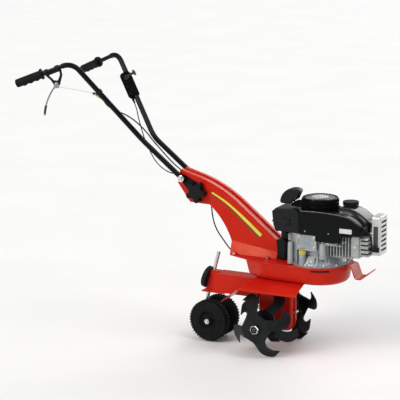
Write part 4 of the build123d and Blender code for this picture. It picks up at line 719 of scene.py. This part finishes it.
def make_tank(bm):
    crown = smooth_line([Vector((x, 0, z)) for x, z in tank_crown], 8)
    foot = [Vector((LIP_FRONT, 0, TANK_LOW)), Vector((LIP_FRONT, 0, LIP_LOW))]
    rows = []
    drops = [SHOULDER * (1 - math.cos(math.pi / 2 * i / SHOULDER_STEPS)) for i in range(SHOULDER_STEPS + 1)]
    shoulder = list(zip(drops, reversed(drops)))
    stations = [(TANK_NEAR + drop, inset) for drop, inset in shoulder]
    stations += [(TANK_FAR - drop, inset) for drop, inset in reversed(shoulder)]
    middle = Vector((TANK_MIDDLE, 0, LIP_LOW - SHOULDER))
    for y, inset in stations:
        row = []
        for point in crown:
            towards = middle - point
            above = point.z > TANK_LOW + FOOT_BAND
            inwards = towards.normalized() * (min(inset, towards.length * INSET_SHARE) if above else 0.0)
            row.append(bm.verts.new((max(point.x + inwards.x, TANK_REAR), y,
                                     max(point.z + inwards.z, TANK_LOW))))
        row += [bm.verts.new((point.x, y, point.z)) for point in foot]
        rows.append(row)
    skin(bm, rows)
    cap(bm, rows)


tank_shell = piece("tank_shell", make_tank, plastic_tank, "chassis")
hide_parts("fuel_tank")


# Engine castings and fasteners

GUSSETS = (-155, -128, -112, -72, -48, -20, 14, 48, 92, 136, 170)     # degrees about the engine's axis
GUSSET_HALF = 0.0026
gusset_outline = [   # distance from the engine's axis, and height
    (0.078, 0.358), (0.1075, 0.358), (0.1075, 0.3615), (0.1035, 0.366), (0.0905, 0.398), (0.078, 0.400)]
casting_blocks = [   # lowest and highest corner: the near panel's frame on three sides, and the drain boss
    ((0.4005, -0.0975, 0.4115), (0.4065, -0.0940, 0.4695)),
    ((0.4705, -0.0975, 0.4115), (0.4775, -0.0940, 0.4695)),
    ((0.4060, -0.0968, 0.4115), (0.4710, -0.0940, 0.4165)),
    ((0.4480, -0.1010, 0.3600), (0.4720, -0.0820, 0.3860))]
CASTING_CHAMFER = 0.0012
governor_boss = (0.497, -0.083, 0)
casting_posts = ((0.372, -0.088), (0.360, 0.070), (0.430, 0.100))
BASE_BOLTS = (-140, -95, -60, -34, 0, 30, 75, 118, 160)     # degrees about the engine's axis
BASE_BOLT_RING, BASE_TOP = 0.1085, 0.358
PANEL_FACE = -0.0950
panel_bolts = ((0.4095, 0.4225), (0.4095, 0.4600), (0.4680, 0.4225), (0.4680, 0.4600))
drain_bolt = (0.460, -0.1008, 0.3735)
head_side_bolt = (0.6185, -0.0750, 0.4400)
HEAD_STEP = 0.632
head_bolts = ((-0.060, 0.410), (-0.060, 0.466), (0.006, 0.410), (0.006, 0.466))
SHROUD_FACE = -0.0999
shroud_side_screws = ((0.434, 0.4830), (0.525, 0.4830))
SHROUD_SCREWS = (40, 130, 220, 310)     # degrees about the engine's axis
SHROUD_SCREW_RING, SHROUD_TOP = 0.0765, 0.5498


def round_engine(radius, angle, height):
    """A point at a radius and an angle in degrees about the engine's axis."""
    turn = math.radians(angle)
    return engine_axis + Vector((radius * math.cos(turn), radius * math.sin(turn), height))


def make_gussets(bm):
    for angle in GUSSETS:
        turned = Matrix.Translation(engine_axis) @ Matrix.Rotation(math.radians(angle), 4, "Z")
        prism(bm, gusset_outline, turned @ side_place(1, 0), -GUSSET_HALF, GUSSET_HALF)


def make_casting_trim(bm):
    """The blocks come last: faces made after a bevel can come out in another order on each run."""
    lathe(bm, [(0, 0.384), (0.0150, 0.384), (0.0135, 0.394), (0.0130, 0.436), (0.0112, 0.4415),
               (0.0060, 0.4425), (0, 0.4425)], Matrix.Translation(governor_boss), 32)
    for x, y in casting_posts:
        lathe(bm, [(0, 0.356), (0.0125, 0.356), (0.0112, 0.362), (0.0095, 0.430), (0.0080, 0.436),
                   (0, 0.436)], Matrix.Translation((x, y, 0)), 24)
    for low, high in casting_blocks:
        block(bm, low, high, CASTING_CHAMFER)


def make_engine_bolts(bm):
    """Each head with its width, height and flange, and turned its own way."""
    for angle in BASE_BOLTS:
        at = round_engine(BASE_BOLT_RING, angle, BASE_TOP)
        hex_bolt(bm, at, UP, 0.0080, 0.0062, 0.0062, angle * 0.11)
    for x, z in panel_bolts:
        hex_bolt(bm, (x, PANEL_FACE, z), NEAR, 0.0072, 0.0045, 0.0052, x * 40)
    hex_bolt(bm, drain_bolt, NEAR, 0.0105, 0.0050, 0.0072)
    hex_bolt(bm, head_side_bolt, NEAR, 0.0105, 0.0060, 0.0074)
    for y, z in head_bolts:
        hex_bolt(bm, (HEAD_STEP, y, z), AHEAD, 0.0082, 0.0055, 0.0062, y * 30)


def make_shroud_screws(bm):
    for x, z in shroud_side_screws:
        pan_screw(bm, (x, SHROUD_FACE, z), NEAR, 0.0030, 0.0018)
    for angle in SHROUD_SCREWS:
        pan_screw(bm, round_engine(SHROUD_SCREW_RING, angle, SHROUD_TOP), UP, 0.0038, 0.0024)


piece("crankcase_gussets", make_gussets, alloy_base, "chassis")
piece("crankcase_trim", make_casting_trim, alloy_cast, "chassis")
piece("engine_bolts", make_engine_bolts, steel_zinc, "chassis")
piece("shroud_screws", make_shroud_screws, steel_dark, "chassis")


# Trim on the covers: a paler glossy bead along the shroud's top edge that paints its highlight line, bare
# plate, and the air cleaner's strips and latch

def circle_through(first, second, third):
    """Centre and radius of the circle through three flat points."""
    (ax, ay), (bx, by), (cx, cy) = first, second, third
    twice = 2 * (ax * (by - cy) + bx * (cy - ay) + cx * (ay - by))
    a, b, c = ax * ax + ay * ay, bx * bx + by * by, cx * cx + cy * cy
    x = (a * (by - cy) + b * (cy - ay) + c * (ay - by)) / twice
    y = (a * (cx - bx) + b * (ax - cx) + c * (bx - ax)) / twice
    return x, y, math.hypot(ax - x, ay - y)


# The shroud's cover: its near face, both ends of its straight side, its round nose and its arched upper edge
COVER_NEAR, COVER_REAR, COVER_NOSE = -0.100, 0.415, 0.623
NOSE_ROUND, NOSE_TURN = 0.026, 72
ARCH_SPLIT, SPLIT_HEIGHT = 0.579, 0.553
cover_arch = circle_through((0.352, 0.550), (0.490, 0.559), (ARCH_SPLIT, SPLIT_HEIGHT))
cover_fall = circle_through((ARCH_SPLIT, SPLIT_HEIGHT), (0.630, 0.532), (0.654, 0.506))
BEAD_RADIUS, BEAD_INSET = 0.0026, 0.0016
SIDE_STEPS, NOSE_STEPS = 40, 12


def cover_height(x):
    """Height of the cover's arched edge at a place along it."""
    centre_x, centre_z, radius = cover_arch if x < ARCH_SPLIT else cover_fall
    return centre_z + math.sqrt(radius ** 2 - (x - centre_x) ** 2)


def make_cover_bead(bm):
    run = COVER_NOSE - COVER_REAR
    plan = [(COVER_REAR + run * i / SIDE_STEPS, COVER_NEAR + BEAD_INSET) for i in range(SIDE_STEPS)]
    reach = NOSE_ROUND - BEAD_INSET
    for i in range(NOSE_STEPS + 1):
        turn = math.radians(NOSE_TURN * i / NOSE_STEPS)
        plan.append((COVER_NOSE + reach * math.sin(turn), COVER_NEAR + NOSE_ROUND - reach * math.cos(turn)))
    tube(bm, [Vector((x, y, cover_height(x) - BEAD_INSET)) for x, y in plan], BEAD_RADIUS, 12)


# The bead's paler plastic paints the highlight line that the shroud's rounded top edge catches
piece("shroud_highlight_bead", make_cover_bead, plastic_highlight_edge, "chassis")


PLATE_SIDE, plate_at = 0.0998, (0.591, 0.4985, 0)
PLATE_WIDTH, PLATE_HEIGHT, PLATE_CORNER, PLATE_THICKNESS = 0.047, 0.0170, 0.0025, 0.0007


def make_plate(bm):
    outline = rounded_box(PLATE_WIDTH, PLATE_HEIGHT, PLATE_CORNER)
    prism(bm, outline, side_place(-1, PLATE_SIDE) @ Matrix.Translation(plate_at), 0, PLATE_THICKNESS)


piece("bare_plate", make_plate, film_white, "chassis")


cleaner_blocks = [   # lowest and highest corner: the strips along top and front, and the stepped latch
    ((0.3000, -0.0922, 0.5380), (0.4060, -0.0896, 0.5410)),
    ((0.3990, -0.0922, 0.4740), (0.4065, -0.0896, 0.5380)),
    ((0.3420, -0.0945, 0.4960), (0.3700, -0.0896, 0.5200)),
    ((0.3500, -0.0962, 0.5010), (0.3620, -0.0940, 0.5150))]
CLEANER_CHAMFER = 0.0009


def make_cleaner_trim(bm):
    for low, high in cleaner_blocks:
        block(bm, low, high, CLEANER_CHAMFER)


piece("air_cleaner_trim", make_cleaner_trim, plastic_box, "chassis")


# Governor rods, their nut on the boss, and the spring along them

governor_rods = [
    ((0.497, -0.0835, 0.4450), (0.506, -0.0990, 0.4470), (0.548, -0.0960, 0.4440), (0.590, -0.0860, 0.4560)),
    ((0.506, -0.0985, 0.4420), (0.530, -0.0965, 0.4400), (0.556, -0.0930, 0.4405), (0.572, -0.0860, 0.4380))]
ROD_RADIUS = 0.0011
rod_nut = (0.497, -0.0835, 0)
spring_from, spring_to = Vector((0.512, -0.0978, 0.4425)), Vector((0.556, -0.0935, 0.4405))
SPRING_RADIUS, SPRING_WIRE = 0.0030, 0.0005
SPRING_TURNS, TURN_STEPS = 14, 12


def make_governor(bm):
    for rod in governor_rods:
        tube(bm, smooth_line(rod, 6), ROD_RADIUS, 10)
    lathe(bm, [(0, 0.4420), (0.0052, 0.4420), (0.0052, 0.4465), (0.0030, 0.4480), (0, 0.4480)],
          Matrix.Translation(rod_nut), 6)
    ahead = (spring_to - spring_from).normalized()
    side = ahead.orthogonal().normalized()
    other = ahead.cross(side)
    steps = SPRING_TURNS * TURN_STEPS
    coil = []
    for i in range(steps + 1):
        turn = 2 * math.pi * SPRING_TURNS * i / steps
        across = math.cos(turn) * side + math.sin(turn) * other
        coil.append(spring_from.lerp(spring_to, i / steps) + SPRING_RADIUS * across)
    tube(bm, coil, SPRING_WIRE, 6)


piece("governor_linkage", make_governor, steel_zinc, "chassis")


# Frame: black arc painted as the shade inside a vent slot, stripes, tine shaft ends, pivot washers

VENT_RADII, VENT_ANGLES, VENT_HEIGHTS = (0.1170, 0.1189), (-83, -50), (0.3385, 0.3440)


# A thin black arc on the tub's near side: painted shade standing for the dark inside of a vent slot
def make_vent(bm):
    arc_band(bm, engine_axis, VENT_RADII, VENT_ANGLES, VENT_HEIGHTS, 24)


piece("vent_slot_shade", make_vent, plastic_black, "chassis")

lime_line = [Vector(p) for p in ((0.022, 0.575, 0), (0.072, 0.551, 0), (0.124, 0.514, 0), (0.176, 0.472, 0),
                                 (0.226, 0.430, 0))]
dark_line = [point + Vector((-0.0085, -0.0115, 0)) for point in lime_line]
LIME_WIDTHS, DARK_WIDTHS = (0.006, 0.013), (0.002, 0.005)     # at the upper end and at the lower
FILM_LOW, FILM_HIGH = -0.0002, 0.0005


def striped(line, widths):
    """A maker of one stripe, on both sides of the column."""
    def make(bm):
        for side in (-1, 1):
            ribbon(bm, smooth_line(line), widths, side_place(side, column_half), FILM_LOW, FILM_HIGH)

    return make


piece("column_stripe_lime", striped(lime_line, LIME_WIDTHS), film_lime, "chassis")
piece("column_stripe_dark", striped(dark_line, DARK_WIDTHS), film_dark, "chassis")

TINE_X, TINE_Z = 0.272, 0.115
RING_Y, CAP_Y, WASHER_Y = 0.1855, 0.1915, 0.0541
RING_SPIN = 0.2


def make_shaft_rings(bm):
    for side in (-1, 1):
        place = facing((0, side, 0), (TINE_X, side * RING_Y, TINE_Z), RING_SPIN)
        ring(bm, [(0.0150, 0), (0.0176, 0), (0.0176, 0.0018), (0.0168, 0.0028), (0.0152, 0.0028)], place, 6)


def make_shaft_caps(bm):
    for side in (-1, 1):
        place = facing((0, side, 0), (TINE_X, side * CAP_Y, TINE_Z))
        ring(bm, [(0.0045, -0.0004), (0.0123, -0.0004), (0.0119, 0.0005), (0.0050, 0.0005)], place, 32)


piece("tine_shaft_rings", make_shaft_rings, steel_chrome, "rotor")
piece("tine_shaft_caps", make_shaft_caps, steel_tine, "rotor")


def make_washers(bm):
    for side in (-1, 1):
        place = facing((0, side, 0), (pivot.x, side * WASHER_Y, pivot.z))
        lathe(bm, [(0, 0), (0.0130, 0), (0.0130, 0.0008), (0.0112, 0.0017), (0, 0.0019)], place, 40)


piece("pivot_washers", make_washers, steel_chrome, "handlebar")


# Cable stop sleeve, clutch lever cheek and ball end, throttle housing screws and boot

barrel_at = Vector((-0.42533, -0.11531, 0.92967))
barrel_dir = Vector((-0.7512, -0.4143, 0.5139)).normalized()
throttle_at = Vector((-0.40817, 0.12025, 0.94088))
left_run = Vector((-0.57738, 0.30954, 0.75552))
left_off = Vector((-0.81647, -0.21889, -0.53428))
left_side = left_off.cross(left_run)
SLEEVE_BACK = 0.0128
HOUSING_HALF = 0.0187
BOOT_BACK, BOOT_AWAY = 0.0565, 0.018
housing_screws = ((-0.044, 0.0120), (0.040, 0.0120), (-0.010, 0.0132))     # along the tube, and away from it


def make_sleeve(bm):
    place = facing(barrel_dir, barrel_at - barrel_dir * SLEEVE_BACK)
    ring(bm, [(0.0032, 0.0), (0.0058, 0.0), (0.0062, 0.0010), (0.0062, 0.0050), (0.0054, 0.0058),
              (0.0054, 0.0180), (0.0048, 0.0190), (0.0032, 0.0190)], place, 24)


piece("cable_stop_sleeve", make_sleeve, plastic_pale, "handlebar")


lever_at = Vector((-0.55238, -0.18541, 0.97381))
lever_out = Vector((-0.8892, -0.2884, -0.3552))
lever_axis = Vector((-0.308571, 0.951201, 0))
lever_up = lever_axis.cross(lever_out)
lever_place = Matrix((lever_out, lever_up, lever_axis)).transposed().to_4x4()
lever_place.translation = lever_at
cheek_outline = [
    (0.0160, -0.0082), (0.0110, -0.0010), (0.0062, 0.0044), (0.0022, 0.0074), (-0.0024, 0.0074),
    (-0.0062, 0.0046), (-0.0078, 0.0002), (-0.0070, -0.0050), (-0.0050, -0.0105), (-0.0034, -0.0160),
    (0, -0.0186), (0.0036, -0.0162), (0.0064, -0.0140), (0.0120, -0.0142)]
CHEEK_LOW, CHEEK_HIGH = -0.0098, -0.0078
tie_bar = (0, -0.0152, 0)
ball_at = (0.0905, -0.0920, 0)
BALL_RADIUS, BALL_HALF, BALL_ROWS = 0.0052, 0.0058, 10


def make_cheek(bm):
    """A plate on the pivot's near side, its rivet, and the bar that ties it to the lever."""
    prism(bm, cheek_outline, lever_place, CHEEK_LOW, CHEEK_HIGH)
    lathe(bm, [(0, -0.0120), (0.0022, -0.0118), (0.0040, -0.0106), (0.0044, -0.0094), (0, -0.0094)],
          lever_place, 24)
    lathe(bm, [(0, -0.0104), (0.0016, -0.0104), (0.0016, -0.0030), (0, -0.0030)],
          lever_place @ Matrix.Translation(tie_bar), 16)


def make_lever_ball(bm):
    turns = [math.pi * i / BALL_ROWS for i in range(BALL_ROWS + 1)]
    profile = [(BALL_RADIUS * math.sin(a), -BALL_HALF * math.cos(a)) for a in turns]
    profile[0], profile[-1] = (0, -BALL_HALF), (0, BALL_HALF)
    lathe(bm, profile, lever_place @ Matrix.Translation(ball_at), 24)


piece("lever_cheek", make_cheek, steel_dark, "clutch_lever")
piece("lever_ball", make_lever_ball, steel_dark, "clutch_lever")


def make_throttle_trim(bm):
    for along, away in housing_screws:
        for side in (-1, 1):
            at = throttle_at + left_run * along + left_off * away + left_side * side * HOUSING_HALF
            pan_screw(bm, at, left_side * side, 0.0034, 0.0020)
    boot = facing(-left_run, throttle_at - left_run * BOOT_BACK + left_off * BOOT_AWAY)
    ring(bm, [(0.0022, 0), (0.0055, 0), (0.0050, 0.004), (0.0040, 0.014), (0.0032, 0.022), (0.0022, 0.022)],
         boot, 20)


piece("throttle_trim", make_throttle_trim, plastic_black, "handlebar")


# Floor, light and camera

FLOOR_HALF = 200.0
floor_z = cad_box[0][2]
AMBIENT, BACKDROP = 0.34, 1.05      # the world's strength as a light, and as what the camera sees
WHITE, WARM = (1, 1, 1), (1.0, 0.95, 0.89)
CAMERA_AT = Vector((2.5638, -4.9061, 1.7458))
LENS_MM, SENSOR_MM, CLIP_END = 135, 36, 700


def pale_floor():
    """Matt pale paper."""
    f = Finish("pale_floor", specular=0.2)
    f.colour(f.mix(f.spread(f.noise(2, 3), 0.3, 0.7), (0.79, 0.795, 0.80), (0.82, 0.825, 0.83)))
    f.rough_drift(5, 3, 0.75, 0.85)
    return f.material


floor_bm = bmesh.new()
floor_bm.faces.new([floor_bm.verts.new((x * FLOOR_HALF, y * FLOOR_HALF, floor_z))
                    for x, y in ((-1, -1), (1, -1), (1, 1), (-1, 1))])
floor_mesh = bpy.data.meshes.new("studio_floor")
floor_bm.to_mesh(floor_mesh)
floor_bm.free()
floor_mesh.materials.append(pale_floor())
studio_floor = bpy.data.objects.new("studio_floor", floor_mesh)
bpy.context.scene.collection.objects.link(studio_floor)


def sun_light(name, towards, power, spread, colour=WHITE):
    """An even light from far away, softened over an angle in degrees."""
    data = bpy.data.lights.new(name, "SUN")
    data.energy = power
    data.color = colour
    data.angle = math.radians(spread)
    light = bpy.data.objects.new(name, data)
    light.matrix_world = facing(towards)
    bpy.context.scene.collection.objects.link(light)


sun_light("key_light", (-0.30, -0.55, 0.78), 0.60, 40)
sun_light("front_light", (-0.37, -0.77, 0.51), 1.45, 26, WARM)
sun_light("top_light", (0.55, -0.10, 0.83), 1.20, 35)
sun_light("rim_light", (0.45, 0.87, 0.18), 0.55, 26, WARM)
sun_light("back_light", (0.02, 0.84, 0.52), 0.85, 34)

world = bpy.context.scene.world or bpy.data.worlds.new("studio")
bpy.context.scene.world = world
world.use_nodes = True
world_nodes, world_links = world.node_tree.nodes, world.node_tree.links
ambient = world_nodes["Background"]
backdrop = world_nodes.new("ShaderNodeBackground")
for background, strength in ((ambient, AMBIENT), (backdrop, BACKDROP)):
    background.inputs["Color"].default_value = (*WHITE, 1)
    background.inputs["Strength"].default_value = strength
ray = world_nodes.new("ShaderNodeLightPath")
either = world_nodes.new("ShaderNodeMixShader")
world_links.new(ray.outputs["Is Camera Ray"], either.inputs["Fac"])
world_links.new(ambient.outputs["Background"], either.inputs[1])
world_links.new(backdrop.outputs["Background"], either.inputs[2])
world_links.new(either.outputs["Shader"], world_nodes["World Output"].inputs["Surface"])

camera_azimuth = math.radians(28.0)
camera_elevation = math.radians(12.3)
camera_roll = math.radians(-0.6)
back = Vector((math.sin(camera_azimuth) * math.cos(camera_elevation),
               -math.cos(camera_azimuth) * math.cos(camera_elevation), math.sin(camera_elevation)))
right = Vector((math.cos(camera_azimuth), math.sin(camera_azimuth), 0))
up = back.cross(right)
rolled_right = right * math.cos(camera_roll) + up * math.sin(camera_roll)
rolled_up = up * math.cos(camera_roll) - right * math.sin(camera_roll)
lens = bpy.data.cameras.new("photo_camera")
lens.lens = LENS_MM
lens.sensor_width = SENSOR_MM
lens.clip_end = CLIP_END
camera = bpy.data.objects.new("photo_camera", lens)
turn = Matrix((rolled_right, rolled_up, back)).transposed().to_4x4()
camera.matrix_world = Matrix.Translation(CAMERA_AT) @ turn
bpy.context.scene.collection.objects.link(camera)
bpy.context.scene.camera = camera

bpy.context.scene.view_settings.view_transform = "Standard"
